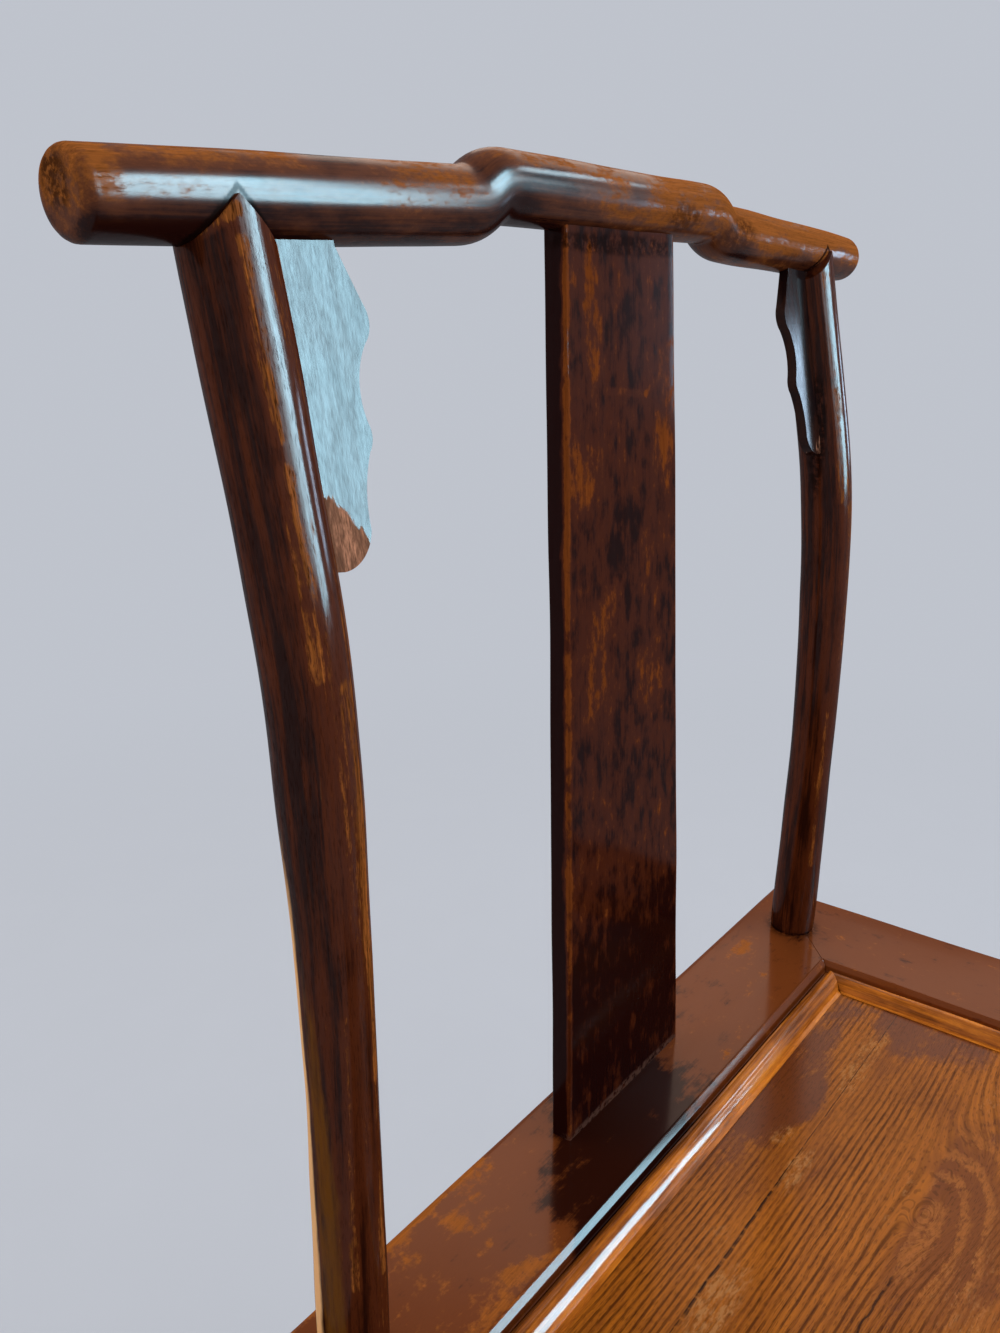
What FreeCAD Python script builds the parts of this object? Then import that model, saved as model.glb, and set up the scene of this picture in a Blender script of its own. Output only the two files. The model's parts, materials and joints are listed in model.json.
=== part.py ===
import FreeCAD, Part
import Sketcher
import os
import re

# Official's hat side chair: a round crest rail with a raised centre on two curved round posts,
# a plain splat, cusped spandrels, a mitred seat frame with a recessed panel, and splayed round legs.
# Millimetres, +Z up, +X to the right and the front towards -Y. The origin is on the floor, under
# the middle of the whole chair. Left and right are those of a person who looks at its front.

# Driving sizes: name, millimetres, what it is.
DRIVING_SIZES = (
    ("overrun", 6, "how far a cutting shape passes the timber that it cuts"),
    ("seat_height", 500, "floor to the flat border of the seat frame"),
    ("seat_width", 564, "seat frame, side to side"),
    ("seat_depth", 446, "seat frame, front to back"),
    ("side_overhang", 50, "side edge of the seat to the centre of a leg"),
    ("rear_overhang", 37, "rear edge of the seat to the centre of a post"),
    ("front_overhang", 42, "front edge of the seat to the centre of a front leg"),
    ("frame_thickness", 32, "seat frame, top to bottom"),
    ("long_rail_width", 79, "front and rear rails in plan"),
    ("side_rail_width", 86, "side rails in plan"),
    ("edge_round", 5, "rounding of the frame's upper outer edge"),
    ("edge_belt", 14, "upright belt of the frame's outer edge, with its rounding"),
    ("edge_quirk", 2, "small step under the belt"),
    ("edge_inset", 10, "how far the underside stands back from the belt"),
    ("edge_foot", 3, "upright strip at the foot of the edge moulding"),
    ("ridge_width", 4, "thin ridge along the frame's inner edge"),
    ("ridge_rise", 1.4, "height of that ridge above the flat border"),
    ("corner_tenon_width", 22, "mitre tenon in plan"),
    ("corner_tenon_thickness", 10, "mitre tenon, top to bottom"),
    ("corner_tenon_drop", 17, "flat border down to the mitre tenon"),
    ("corner_tenon_inset", 4, "inner edge of the rail to the mitre tenon"),
    ("corner_tenon_cover", 16, "wood left between the mitre tenon's end and the outer edge"),
    ("panel_drop", 6, "flat border down to the seat panel"),
    ("panel_thickness", 13, "seat panel in the middle"),
    ("panel_tongue", 9, "thickness of the panel's tongue"),
    ("panel_housing", 10, "depth of the panel's groove in the rails"),
    ("panel_play", 1, "room left for the panel to swell in its groove"),
    ("panel_gap", 0.3, "gap between the panel's lower part and the rails"),
    ("bead_gap", 1, "dark line between the frame and the bead strip"),
    ("bead_width", 18, "bead strip in plan"),
    ("bead_rise", 1.8, "top of the bead strip above the flat border"),
    ("bead_outer_wall", 3.6, "upright outer side of the bead strip"),
    ("bead_inner_wall", 1.8, "upright inner side of the bead strip"),
    ("batten_spacing", 190, "between the two battens under the panel"),
    ("batten_width", 24, "batten at its underside"),
    ("batten_waist", 15, "batten where it meets the panel"),
    ("batten_dovetail", 4, "height of the dovetail in the panel"),
    ("batten_tenon", 12, "length of a batten's tenon in a rail"),
    ("batten_tenon_width", 14, "width of that tenon"),
    ("batten_tenon_thickness", 8, "thickness of that tenon"),
    ("batten_tenon_rise", 2, "batten's underside to its tenon"),
    ("post_diameter", 32, "rear post where it stands on the seat"),
    ("post_neck", 27, "rear post where it passes through the seat frame"),
    ("post_sweep", 28, "how far the post's head lies behind its foot"),
    ("back_height", 480, "flat border up to the crest rail's axis at the posts"),
    ("post_tenon", 13, "square tenon on the post's head"),
    ("post_tenon_rise", 7, "top of that tenon above the crest rail's axis"),
    ("crest_length", 585, "crest rail, end to end"),
    ("crest_diameter", 31.5, "crest rail"),
    ("crest_flat", 86, "middle of the crest rail to the start of its step"),
    ("crest_step", 30, "length of the step"),
    ("crest_raise", 9, "height of the step"),
    ("crest_droop", 8, "fall of the crest rail from the step to its end"),
    ("crest_end_round", 6, "rounding of the crest rail's ends"),
    ("splat_foot_width", 121.5, "back splat at the seat"),
    ("splat_head_width", 97, "back splat at the crest rail"),
    ("splat_thickness", 12.5, "back splat, front to back"),
    ("splat_foot_set_back", 8.5, "middle of the splat's foot behind the post's foot"),
    ("splat_head_forward", 1.5, "middle of the splat's head ahead of the crest rail's axis"),
    ("splat_bow", 1, "how far the splat bows forward"),
    ("splat_arris", 1.2, "rounding of the splat's long edges"),
    ("splat_foot_housing", 12, "depth of the splat's mortise in the rear rail"),
    ("splat_head_housing", 10, "depth of the splat's groove in the crest rail"),
    ("spandrel_reach", 52, "post's axis to the spandrel's widest point"),
    ("spandrel_drop", 127, "crest rail's axis to the spandrel's tip"),
    ("spandrel_thickness", 6, "spandrel, front to back"),
    ("spandrel_forward", 2.5, "middle of the spandrel ahead of the post's axis"),
    ("leg_diameter", 34, "leg under the seat"),
    ("leg_foot_diameter", 32, "leg at the floor"),
    ("leg_splay", 12, "how far a foot stands out, both ways"),
    ("leg_tenon", 15, "square tenon on a front leg's head"),
    ("leg_tenon_height", 22, "height of that tenon"),
    ("apron_thickness", 9, "aprons, ears and jambs"),
    ("apron_leg_housing", 5, "how deep an apron goes into a leg"),
    ("apron_rail_housing", 4, "how deep an apron goes into the seat frame"),
    ("front_apron_depth", 50, "front apron at the mitres"),
    ("jamb_width", 30, "upright board beside a front leg"),
    ("side_apron_depth", 38, "side and rear aprons"),
    ("ear_width", 30, "apron's ear along the apron"),
    ("ear_drop", 46, "apron's ear below the apron"),
    ("footrest_top", 92, "floor to the top of the footrest"),
    ("footrest_depth", 44, "footrest, front to back"),
    ("footrest_thickness", 22, "footrest, top to bottom"),
    ("footrest_forward", 3, "middle of the footrest ahead of the legs' axes"),
    ("footrest_round", 5, "rounding of the footrest's edges"),
    ("footrest_apron_depth", 26, "strip under the footrest"),
    ("side_stretcher_height", 132, "floor to the middle of a side stretcher"),
    ("rear_stretcher_height", 174, "floor to the middle of the rear stretcher"),
    ("stretcher_depth", 24, "side and rear stretchers, top to bottom"),
    ("stretcher_thickness", 18, "side and rear stretchers, across"),
    ("stretcher_crown", 5, "height of the rounded top and bottom of a stretcher"),
    ("tenon_width", 14, "through tenon of a stretcher"),
    ("tenon_thickness", 9, "through tenon of a stretcher, across"),
    ("tenon_show", 1, "how far a through tenon stands out of the leg"),
)

# Places worked out from the driving sizes: name, formula, what it is.
DERIVED_PLACES = (
    ("post_x", "seat_width / 2 - side_overhang", "centre of a leg or post"),
    ("post_y", "(seat_depth - rear_overhang - post_sweep - crest_diameter / 2) / 2",
     "centre of a post's foot"),
    ("rear_edge", "post_y + rear_overhang", "rear edge of the seat"),
    ("front_edge", "rear_edge - seat_depth", "front edge of the seat"),
    ("front_leg_y", "front_edge + front_overhang", "centre of a front leg under the seat"),
    ("under_seat", "seat_height - frame_thickness", "underside of the seat frame"),
    ("inner_x", "seat_width / 2 - side_rail_width", "inner edge of a side rail"),
    ("inner_rear", "rear_edge - long_rail_width", "inner edge of the rear rail"),
    ("inner_front", "front_edge + long_rail_width", "inner edge of the front rail"),
    ("panel_top", "seat_height - panel_drop", "top of the seat panel"),
    ("panel_bottom", "panel_top - panel_thickness", "underside of the seat panel"),
    ("side_moulding", "side_rail_width / long_rail_width",
     "the side rails' mouldings against the long rails', so that the mitres meet"),
    ("crest_y", "post_y + post_sweep", "crest rail's axis"),
    ("crest_z", "seat_height + back_height", "crest rail's axis at the posts"),
    ("crest_slope", "crest_droop / (crest_length / 2 - crest_flat - crest_step)",
     "fall of the crest rail's outer part"),
    ("crest_shoulder_x", "crest_flat + crest_step", "outer end of the step"),
    ("crest_shoulder_z", "crest_z + crest_slope * (post_x - crest_shoulder_x)",
     "axis at the outer end of the step"),
    ("crest_raised_z", "crest_shoulder_z + crest_raise", "axis in the middle"),
    ("crest_end_z", "crest_shoulder_z - crest_droop", "axis at the ends"),
    ("splay_slope", "leg_splay / under_seat", "lean of a leg, both ways"),
    ("apron_end", "leg_diameter / 2 - apron_leg_housing", "leg's axis to an apron's end"),
    ("footrest_middle", "footrest_top - footrest_thickness / 2", "middle of the footrest"),
    ("leg_slack", "leg_diameter / 2 + tenon_show", "leg's axis to a through tenon's end"),
)

# A rear post: share of the back's height, share of the sweep, share of the post's diameter.
POST_STATION_SHARES = (
    (0, 0, 1),
    (0.17, -0.08, 0.95),
    (0.34, -0.15, 0.905),
    (0.51, -0.12, 0.97),
    (0.68, 0.02, 1.035),
    (0.85, 0.5, 1.035),
    (1, 1, 0.965),
)

# A spandrel's outline: shares of its reach and of its drop. Four numbers are an arc, through the
# first two and to the last two.
SPANDREL_SHARES = (
    (0.15, 0.985),
    (0.15, 0.045),
    (0.79, 0.045),
    (0.79, 0.11),
    (0.965, 0.265),
    (1, 0.322, 0.93, 0.375),
    (0.812, 0.475, 0.83, 0.6),
    (0.845, 0.645, 0.8, 0.68),
    (0.715, 0.77, 0.685, 0.9),
    (0.6, 0.962, 0.37, 1),
)

# Lower edge of the front apron, from its middle to a jamb: shares of its half span and its depth.
KUNMEN_SHARES = (
    (0.09, 0.66, 0.2, 0.78),
    (0.31, 0.88, 0.4, 0.8),
    (0.68, 0.72, 1, 1),
)
KUNMEN_PEAK_SHARE = 0.58

# An ear's inner edge and a jamb's inner edge: shares of width and of height.
EAR_CURVE_SHARES = (0.42, 0.36)
JAMB_FOOT_SHARE = 0.75
JAMB_CURVE_SHARES = (0.8, 0.5)

# The hollow under a seat rail's belt: shares of its width and of its height.
COVE_SHARES = (0.25, 0.6)

# How far the mitre cuts run past a corner, as a share of the rails' widths.
MITRE_OVERRUN_SHARE = 0.08

# From the corner of a rounding's square to the middle of its arc, as a share of the radius.
ROUND_CORNER_SHARE = 1 - 0.5 ** 0.5

SIDES = (("left", "-1"), ("right", "1"))

doc = FreeCAD.newDocument("official_hat_chair")
sizes = doc.addObject("Spreadsheet::Sheet", "Sizes")
places = doc.addObject("Spreadsheet::Sheet", "Places")
nodes = {}


def formula(text):
    """Write a formula with each size and place named in its own sheet."""
    size_names = {row[0] for row in DRIVING_SIZES}
    place_names = {row[0] for row in DERIVED_PLACES}

    def in_sheet(match):
        word = match.group()
        if word in size_names:
            return "Sizes." + word
        if word in place_names:
            return "Places." + word
        return word

    return re.sub(r"[A-Za-z_][A-Za-z_0-9]*", in_sheet, str(text))


def fill_sheets():
    """Put the driving sizes and the derived places in their sheets."""
    for row, (alias, value, note) in enumerate(DRIVING_SIZES, start=1):
        sizes.set(f"A{row}", alias)
        sizes.set(f"B{row}", str(value))
        sizes.setAlias(f"B{row}", alias)
        sizes.set(f"C{row}", note)
    doc.recompute()
    for row, (alias, text, note) in enumerate(DERIVED_PLACES, start=1):
        places.set(f"A{row}", alias)
        places.set(f"B{row}", "=" + formula(text).replace("Places.", ""))
        places.setAlias(f"B{row}", alias)
        places.set(f"C{row}", note)
        doc.recompute()


def number(text):
    """Give the value of a formula, for a sketch's first drawing and for finding edges."""
    value = sizes.evalExpression(formula(text))
    return float(getattr(value, "Value", value))


def bind(thing, path, text):
    """Bind a property to a formula."""
    thing.setExpression(path, formula(text))


def spot(x, y):
    """Give the point of a sketch that two formulas name."""
    return FreeCAD.Vector(number(x), number(y), 0)


def new_body(name):
    """Add a body."""
    return doc.addObject("PartDesign::Body", name)


def origin_plane(body, role):
    """Give one of a body's own origin planes."""
    return next(item for item in body.Origin.OriginFeatures if item.Role == role)


def new_sketch(body, name, role, offset=None):
    """Add a sketch on an origin plane of a body, moved along the plane's normal by a formula."""
    sketch = body.newObject("Sketcher::SketchObject", name)
    sketch.AttachmentSupport = (origin_plane(body, role), [""])
    sketch.MapMode = "FlatFace"
    if offset is not None:
        bind(sketch, "AttachmentOffset.Base.z", offset)
    return sketch


def pin_point(sketch, geometry, end, x, y):
    """Hold a point of a sketch at two formulas."""
    for kind, text in (("DistanceX", x), ("DistanceY", y)):
        index = sketch.addConstraint(
            Sketcher.Constraint(kind, -1, 1, geometry, end, number(text)))
        bind(sketch, f"Constraints[{index}]", text)


def ends_from(sketch, edge, start):
    """Give the numbers of an edge's two ends, the one at the start point first."""
    first, last = (sketch.getPoint(edge, end) for end in (1, 2))
    return (1, 2) if (first - start).Length < (last - start).Length else (2, 1)


def draw_outline(body, name, role, steps, offset=None):
    """Draw a closed outline. A step of two formulas is a line to that point, and a step of four is
    an arc through the first two and to the last two. The outline starts where its last step ends."""
    sketch = new_sketch(body, name, role, offset)
    here = steps[-1][-2:]
    ends = []
    for step in steps:
        start, finish = spot(*here), spot(*step[-2:])
        if len(step) == 4:
            edge = sketch.addGeometry(Part.Arc(start, spot(*step[:2]), finish))
            on_arc = sketch.addGeometry(Part.Point(spot(*step[:2])), True)
            sketch.addConstraint(Sketcher.Constraint("PointOnObject", on_arc, 1, edge))
            pin_point(sketch, on_arc, 1, *step[:2])
        else:
            edge = sketch.addGeometry(Part.LineSegment(start, finish))
        near, far = ends_from(sketch, edge, start)
        pin_point(sketch, edge, far, *step[-2:])
        ends.append((edge, near, far))
        here = step[-2:]
    for this, following in zip(ends, ends[1:] + ends[:1]):
        sketch.addConstraint(
            Sketcher.Constraint("Coincident", this[0], this[2], following[0], following[1]))
    return sketch


def draw_box(body, name, role, low, high, offset=None):
    """Draw a rectangle between two corners."""
    (x0, y0), (x1, y1) = low, high
    return draw_outline(body, name, role, [(x1, y0), (x1, y1), (x0, y1), (x0, y0)], offset)


def draw_circle(body, name, role, x, y, diameter, offset=None):
    """Draw a circle."""
    sketch = new_sketch(body, name, role, offset)
    circle = sketch.addGeometry(
        Part.Circle(spot(x, y), FreeCAD.Vector(0, 0, 1), number(diameter) / 2))
    pin_point(sketch, circle, 3, x, y)
    index = sketch.addConstraint(Sketcher.Constraint("Diameter", circle, number(diameter)))
    bind(sketch, f"Constraints[{index}]", diameter)
    return sketch


def pad(body, name, sketch, length, side="One side", back_length=None, reverse=False):
    """Pad a sketch to one side, to both alike, or to both by two lengths."""
    feature = body.newObject("PartDesign::Pad", name)
    feature.Profile = sketch
    feature.SideType = side
    feature.Reversed = reverse
    bind(feature, "Length", length)
    if back_length is not None:
        bind(feature, "Length2", back_length)
    return feature


def pocket(body, name, sketch, length):
    """Cut a sketch down into a body."""
    feature = body.newObject("PartDesign::Pocket", name)
    feature.Profile = sketch
    bind(feature, "Length", length)
    return feature


def loft(body, name, sections, ruled=False):
    """Loft through sketches."""
    feature = body.newObject("PartDesign::AdditiveLoft", name)
    feature.Profile = sections[0]
    feature.Sections = sections[1:]
    feature.Ruled = ruled
    return feature


def round_edges(body, name, feature, radius, wanted):
    """Fillet the edges of a feature for which wanted(edge) is true."""
    doc.recompute()
    edges = [f"Edge{place}" for place, edge in enumerate(feature.Shape.Edges, start=1)
             if wanted(edge)]
    fillet = body.newObject("PartDesign::Fillet", name)
    fillet.Base = (feature, edges)
    bind(fillet, "Radius", radius)
    return fillet


def tilt(body, axis, angle, x="0", y="0", z="0"):
    """Place a body with a tilt about one axis."""
    body.Placement = FreeCAD.Placement(
        FreeCAD.Vector(number(x), number(y), number(z)), FreeCAD.Rotation(axis, number(angle)))
    bind(body, "Placement.Base.x", x)
    bind(body, "Placement.Base.y", y)
    bind(body, "Placement.Base.z", z)
    bind(body, "Placement.Rotation.Angle", angle)


def block(name, low, high):
    """Add a box between two corners, for a tenon and its mortise."""
    box = doc.addObject("Part::Box", name)
    for length, axis, start, end in zip(("Length", "Width", "Height"), "xyz", low, high):
        bind(box, length, f"({end}) - ({start})")
        bind(box, f"Placement.Base.{axis}", start)
    return box


def fuse(name, *parts):
    """Join shapes into one timber."""
    joined = doc.addObject("Part::MultiFuse", name)
    joined.Shapes = list(parts)
    joined.Refine = True
    return joined


def cut(name, base, *tools):
    """Cut one shape or several out of a timber."""
    result = doc.addObject("Part::Cut", name)
    result.Base = base
    result.Tool = tools[0] if len(tools) == 1 else fuse(name + "_cutters", *tools)
    result.Refine = True
    return result


def finish(name, thing):
    """Name a finished piece, which is then written to its own file."""
    thing.Label = name
    nodes[name] = thing


def leg_x(side, height):
    """Formula of a leg's axis in X at a height."""
    return f"{side} * (post_x + splay_slope * (under_seat - ({height})))"


def rear_leg_y(height):
    """Formula of a rear leg's axis in Y at a height."""
    return f"(post_y + splay_slope * (under_seat - ({height})))"


def front_leg_y_at(height):
    """Formula of a front leg's axis in Y at a height."""
    return f"(front_leg_y - splay_slope * (under_seat - ({height})))"


def crest_timber():
    """Crest rail before its mortises: half of it swept along the step, and mirrored."""
    body = new_body("crest_rail_timber")
    path = new_sketch(body, "crest_path", "XZ_Plane", "-crest_y")
    slope = number("crest_slope")
    run, rise = number("crest_step"), number("crest_raise")
    bend = (run ** 2 + rise ** 2) / (4 * rise)
    start = spot("crest_flat", "crest_raised_z")
    shoulder = spot("crest_shoulder_x", "crest_shoulder_z")
    middle = (start + shoulder) / 2
    down = FreeCAD.Vector(0, bend, 0)
    first_on = start - down + FreeCAD.Vector(run / 4, (bend ** 2 - (run / 4) ** 2) ** 0.5, 0)
    second_on = shoulder + down - FreeCAD.Vector(run / 4, (bend ** 2 - (run / 4) ** 2) ** 0.5, 0)
    flat = path.addGeometry(Part.LineSegment(spot("0", "crest_raised_z"), start))
    upper = path.addGeometry(Part.Arc(start, first_on, middle))
    lower = path.addGeometry(Part.Arc(middle, second_on, shoulder))
    outer = path.addGeometry(
        Part.LineSegment(shoulder, spot("crest_length / 2", "crest_end_z")))
    pin_point(path, flat, 1, "0", "crest_raised_z")
    path.addConstraint(Sketcher.Constraint("Horizontal", flat))
    index = path.addConstraint(
        Sketcher.Constraint("DistanceX", -1, 1, flat, 2, number("crest_flat")))
    bind(path, f"Constraints[{index}]", "crest_flat")
    pin_point(path, outer, 1, "crest_shoulder_x", "crest_shoulder_z")
    pin_point(path, outer, 2, "crest_length / 2", "crest_end_z")
    upper_near, upper_far = ends_from(path, upper, start)
    lower_near, lower_far = ends_from(path, lower, middle)
    path.addConstraint([
        Sketcher.Constraint("Tangent", flat, 2, upper, upper_near),
        Sketcher.Constraint("Tangent", upper, upper_far, lower, lower_near),
        Sketcher.Constraint("Tangent", lower, lower_far, outer, 1),
        Sketcher.Constraint("Equal", upper, lower),
    ])
    section = draw_circle(
        body, "crest_section", "YZ_Plane", "crest_y", "crest_raised_z", "crest_diameter")
    half = body.newObject("PartDesign::AdditivePipe", "crest_half")
    half.Profile = section
    half.Spine = (path, [""])
    half.Transition = "Round corner"
    whole = body.newObject("PartDesign::Mirrored", "crest_mirrored")
    whole.Originals = [half]
    whole.MirrorPlane = (origin_plane(body, "YZ_Plane"), [""])
    body.Tip = whole
    reach = number("crest_length / 2 - crest_diameter / 4")
    fall = slope * number("crest_diameter")
    round_edges(body, "crest_ends", whole, "crest_end_round",
                lambda edge: abs(edge.CenterOfMass.x) > reach
                and edge.BoundBox.XLength < fall + number("crest_end_round"))
    return body


def rear_post_timber(name, side):
    """Rear post and leg in one timber: a splayed leg, a neck in the seat frame and a curved post."""
    body = new_body(name + "_timber")
    x = f"{side} * post_x"
    neck = draw_circle(body, name + "_neck_section", "XY_Plane", x, "post_y", "post_neck",
                       "under_seat")
    pad(body, name + "_neck", neck, "frame_thickness")
    stations = []
    for place, (height, sweep, girth) in enumerate(POST_STATION_SHARES, start=1):
        stations.append(draw_circle(
            body, f"{name}_station_{place}", "XY_Plane", x, f"post_y + {sweep} * post_sweep",
            f"{girth} * post_diameter", f"seat_height + {height} * back_height"))
    loft(body, name + "_curve", stations)
    top = draw_circle(body, name + "_leg_top", "XY_Plane", x, "post_y", "leg_diameter", "under_seat")
    foot = draw_circle(body, name + "_leg_foot", "XY_Plane", leg_x(side, "0"), rear_leg_y("0"),
                       "leg_foot_diameter")
    loft(body, name + "_leg", [foot, top], ruled=True)
    return body


def front_leg_timber(name, side):
    """Front leg with its square tenon."""
    body = new_body(name + "_timber")
    x = f"{side} * post_x"
    foot = draw_circle(body, name + "_foot", "XY_Plane", leg_x(side, "0"), front_leg_y_at("0"),
                       "leg_foot_diameter")
    top = draw_circle(body, name + "_top", "XY_Plane", x, "front_leg_y", "leg_diameter",
                      "under_seat")
    loft(body, name + "_shaft", [foot, top], ruled=True)
    tenon = draw_box(body, name + "_tenon_section", "XY_Plane",
                     (f"{x} - leg_tenon / 2", "front_leg_y - leg_tenon / 2"),
                     (f"{x} + leg_tenon / 2", "front_leg_y + leg_tenon / 2"), "under_seat")
    pad(body, name + "_tenon", tenon, "leg_tenon_height")
    return body


def splat_timber():
    """Back splat: a gently bowed band of even thickness, tapered from foot to head."""
    body = new_body("back_splat_timber")
    foot_z = "(seat_height - splat_foot_housing)"
    head_z = "(crest_raised_z - crest_diameter / 2 + splat_head_housing)"
    foot_y = "(post_y + splat_foot_set_back)"
    head_y = "(crest_y - splat_head_forward)"
    middle_y = f"(({foot_y} + {head_y}) / 2 - splat_bow)"
    middle_z = f"({foot_z} + {head_z}) / 2"
    half = "splat_thickness / 2"
    side_view = draw_outline(body, "splat_side_view", "YZ_Plane", [
        (f"{foot_y} + {half}", foot_z),
        (f"{middle_y} + {half}", middle_z, f"{head_y} + {half}", head_z),
        (f"{head_y} - {half}", head_z),
        (f"{middle_y} - {half}", middle_z, f"{foot_y} - {half}", foot_z),
    ])
    pad(body, "splat_band", side_view, "splat_foot_width", "Symmetric")
    for name, side in SIDES:
        wedge = draw_outline(body, f"splat_{name}_taper", "XZ_Plane", [
            (f"{side} * splat_foot_width / 2", foot_z),
            (f"{side} * splat_head_width / 2", head_z),
            (f"{side} * splat_head_width / 2", f"{head_z} + overrun"),
            (f"{side} * (splat_foot_width / 2 + overrun)", f"{head_z} + overrun"),
            (f"{side} * (splat_foot_width / 2 + overrun)", foot_z),
        ], "-post_y + splat_foot_width")
        taper = pocket(body, f"splat_{name}_taper_cut", wedge, "2 * splat_foot_width")
    tall = number(f"({head_z} - {foot_z}) / 2")
    round_edges(body, "splat_arrises", taper, "splat_arris",
                lambda edge: edge.BoundBox.ZLength > tall)
    return body


def spandrel_timber(name, side):
    """Spandrel between a post and the crest rail, flat and tilted along the post's upper curve."""
    body = new_body(name + "_timber")
    inward = f"-1 * {side}"
    steps = []
    for share in SPANDREL_SHARES:
        step = []
        for reach, drop in zip(share[0::2], share[1::2]):
            step += [f"{inward} * {reach} * spandrel_reach", f"-{drop} * spandrel_drop"]
        steps.append(tuple(step))
    board = draw_outline(body, name + "_outline", "XZ_Plane", steps)
    pad(body, name + "_board", board, "spandrel_thickness", "Symmetric")
    lower = next(row for row in POST_STATION_SHARES if row[1] > 0)
    top = POST_STATION_SHARES[-1]
    fall = f"({top[0] - lower[0]} * back_height)"
    set_back = f"({top[1] - lower[1]} * post_sweep)"
    tilt(body, FreeCAD.Vector(1, 0, 0), f"-atan({set_back} / {fall})",
         f"{side} * post_x", "crest_y - spandrel_forward", "crest_z")
    return body


def rail_profile(outer, inward, moulding):
    """Outline of a seat rail's section, from its outer edge. Inward is 1 or -1 along the sketch's
    first axis, and moulding stretches the mouldings of the side rails."""
    def at(depth, drop):
        return f"{outer} + {inward} * ({depth})", f"seat_height - ({drop})"

    width = "long_rail_width * " + moulding
    groove_top, groove_bottom = "panel_drop", "panel_drop + panel_tongue"
    housing = f"{width} - panel_housing"
    corner = f"{ROUND_CORNER_SHARE} * edge_round"
    cove_depth = f"(edge_quirk + {COVE_SHARES[0]} * (edge_inset - edge_quirk))"
    cove_drop = f"edge_belt + {COVE_SHARES[1]} * (frame_thickness - edge_foot - edge_belt)"
    return [
        at(f"{width} - ridge_width * {moulding}", "0"),
        at(f"{width} - ridge_width * {moulding} / 2", "-ridge_rise") + at(width, "0"),
        at(width, groove_top),
        at(housing, groove_top),
        at(housing, groove_bottom),
        at(width, groove_bottom),
        at(width, "frame_thickness"),
        at(f"edge_inset * {moulding}", "frame_thickness"),
        at(f"edge_inset * {moulding}", "frame_thickness - edge_foot"),
        at(f"{cove_depth} * {moulding}", cove_drop) + at(f"edge_quirk * {moulding}", "edge_belt"),
        at("0", "edge_belt"),
        at("0", "edge_round"),
        at(f"{corner} * {moulding}", corner) + at(f"edge_round * {moulding}", "0"),
    ]


def mitre_corner(side, end, share):
    """Formulas of a point on a mitre line: share 0 is the seat's corner, 1 is the inner corner.
    End is 1 at the rear of the seat and -1 at its front."""
    edge = "rear_edge" if end == "1" else "front_edge"
    return (f"{side} * (seat_width / 2 - {share} * side_rail_width)",
            f"{edge} - {end} * {share} * long_rail_width")


def mitre(body, name, side, end, along_x):
    """Cut a rail's end along the mitre. A long rail loses its outer wedge, a side rail its inner."""
    outer = mitre_corner(side, end, -MITRE_OVERRUN_SHARE)
    inner = mitre_corner(side, end, 1 + MITRE_OVERRUN_SHARE)
    third = (outer[0], inner[1]) if along_x else (inner[0], outer[1])
    wedge = draw_outline(body, name, "XY_Plane", [outer, inner, third], "seat_height + overrun")
    pocket(body, name + "_cut", wedge, "frame_thickness + 2 * overrun")


def long_rail_timber(name, end):
    """Front or rear seat rail with its mitres."""
    body = new_body(name + "_timber")
    outer = "rear_edge" if end == "1" else "front_edge"
    inward = "-1" if end == "1" else "1"
    profile = draw_outline(body, name + "_profile", "YZ_Plane", rail_profile(outer, inward, "1"))
    pad(body, name + "_length", profile, "seat_width", "Symmetric")
    for side_name, side in SIDES:
        mitre(body, f"{name}_{side_name}_mitre", side, end, True)
    return body


def side_rail_timber(name, side):
    """Left or right seat rail with its mitres."""
    body = new_body(name + "_timber")
    profile = draw_outline(
        body, name + "_profile", "XZ_Plane",
        rail_profile(f"{side} * seat_width / 2", f"-1 * {side}", "side_moulding"))
    pad(body, name + "_length", profile, "-front_edge", "Two sides", "rear_edge")
    for end_name, end in (("front", "-1"), ("rear", "1")):
        mitre(body, f"{name}_{end_name}_mitre", side, end, False)
    return body


def bead_section(outer, inward):
    """Outline of a bead strip: low upright sides under a round top."""
    def at(depth, rise):
        return f"{outer} + {inward} * ({depth})", f"panel_top + ({rise})"

    return [
        at("bead_width", "0"),
        at("bead_width", "bead_inner_wall"),
        at("bead_width / 2", "panel_drop + bead_rise") + at("0", "bead_outer_wall"),
        at("0", "0"),
    ]


def bead_mitre(body, name, side, end, along_x):
    """Cut a bead strip's end at 45 degrees."""
    edge = "inner_rear" if end == "1" else "inner_front"

    def at(depth):
        return (f"{side} * (inner_x - bead_gap - ({depth}))",
                f"{edge} - {end} * (bead_gap + ({depth}))")

    outer, inner = at("-overrun"), at("bead_width + overrun")
    third = (outer[0], inner[1]) if along_x else (inner[0], outer[1])
    wedge = draw_outline(body, name, "XY_Plane", [outer, inner, third], "seat_height + overrun")
    pocket(body, name + "_cut", wedge, "panel_drop + 2 * overrun")


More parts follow.
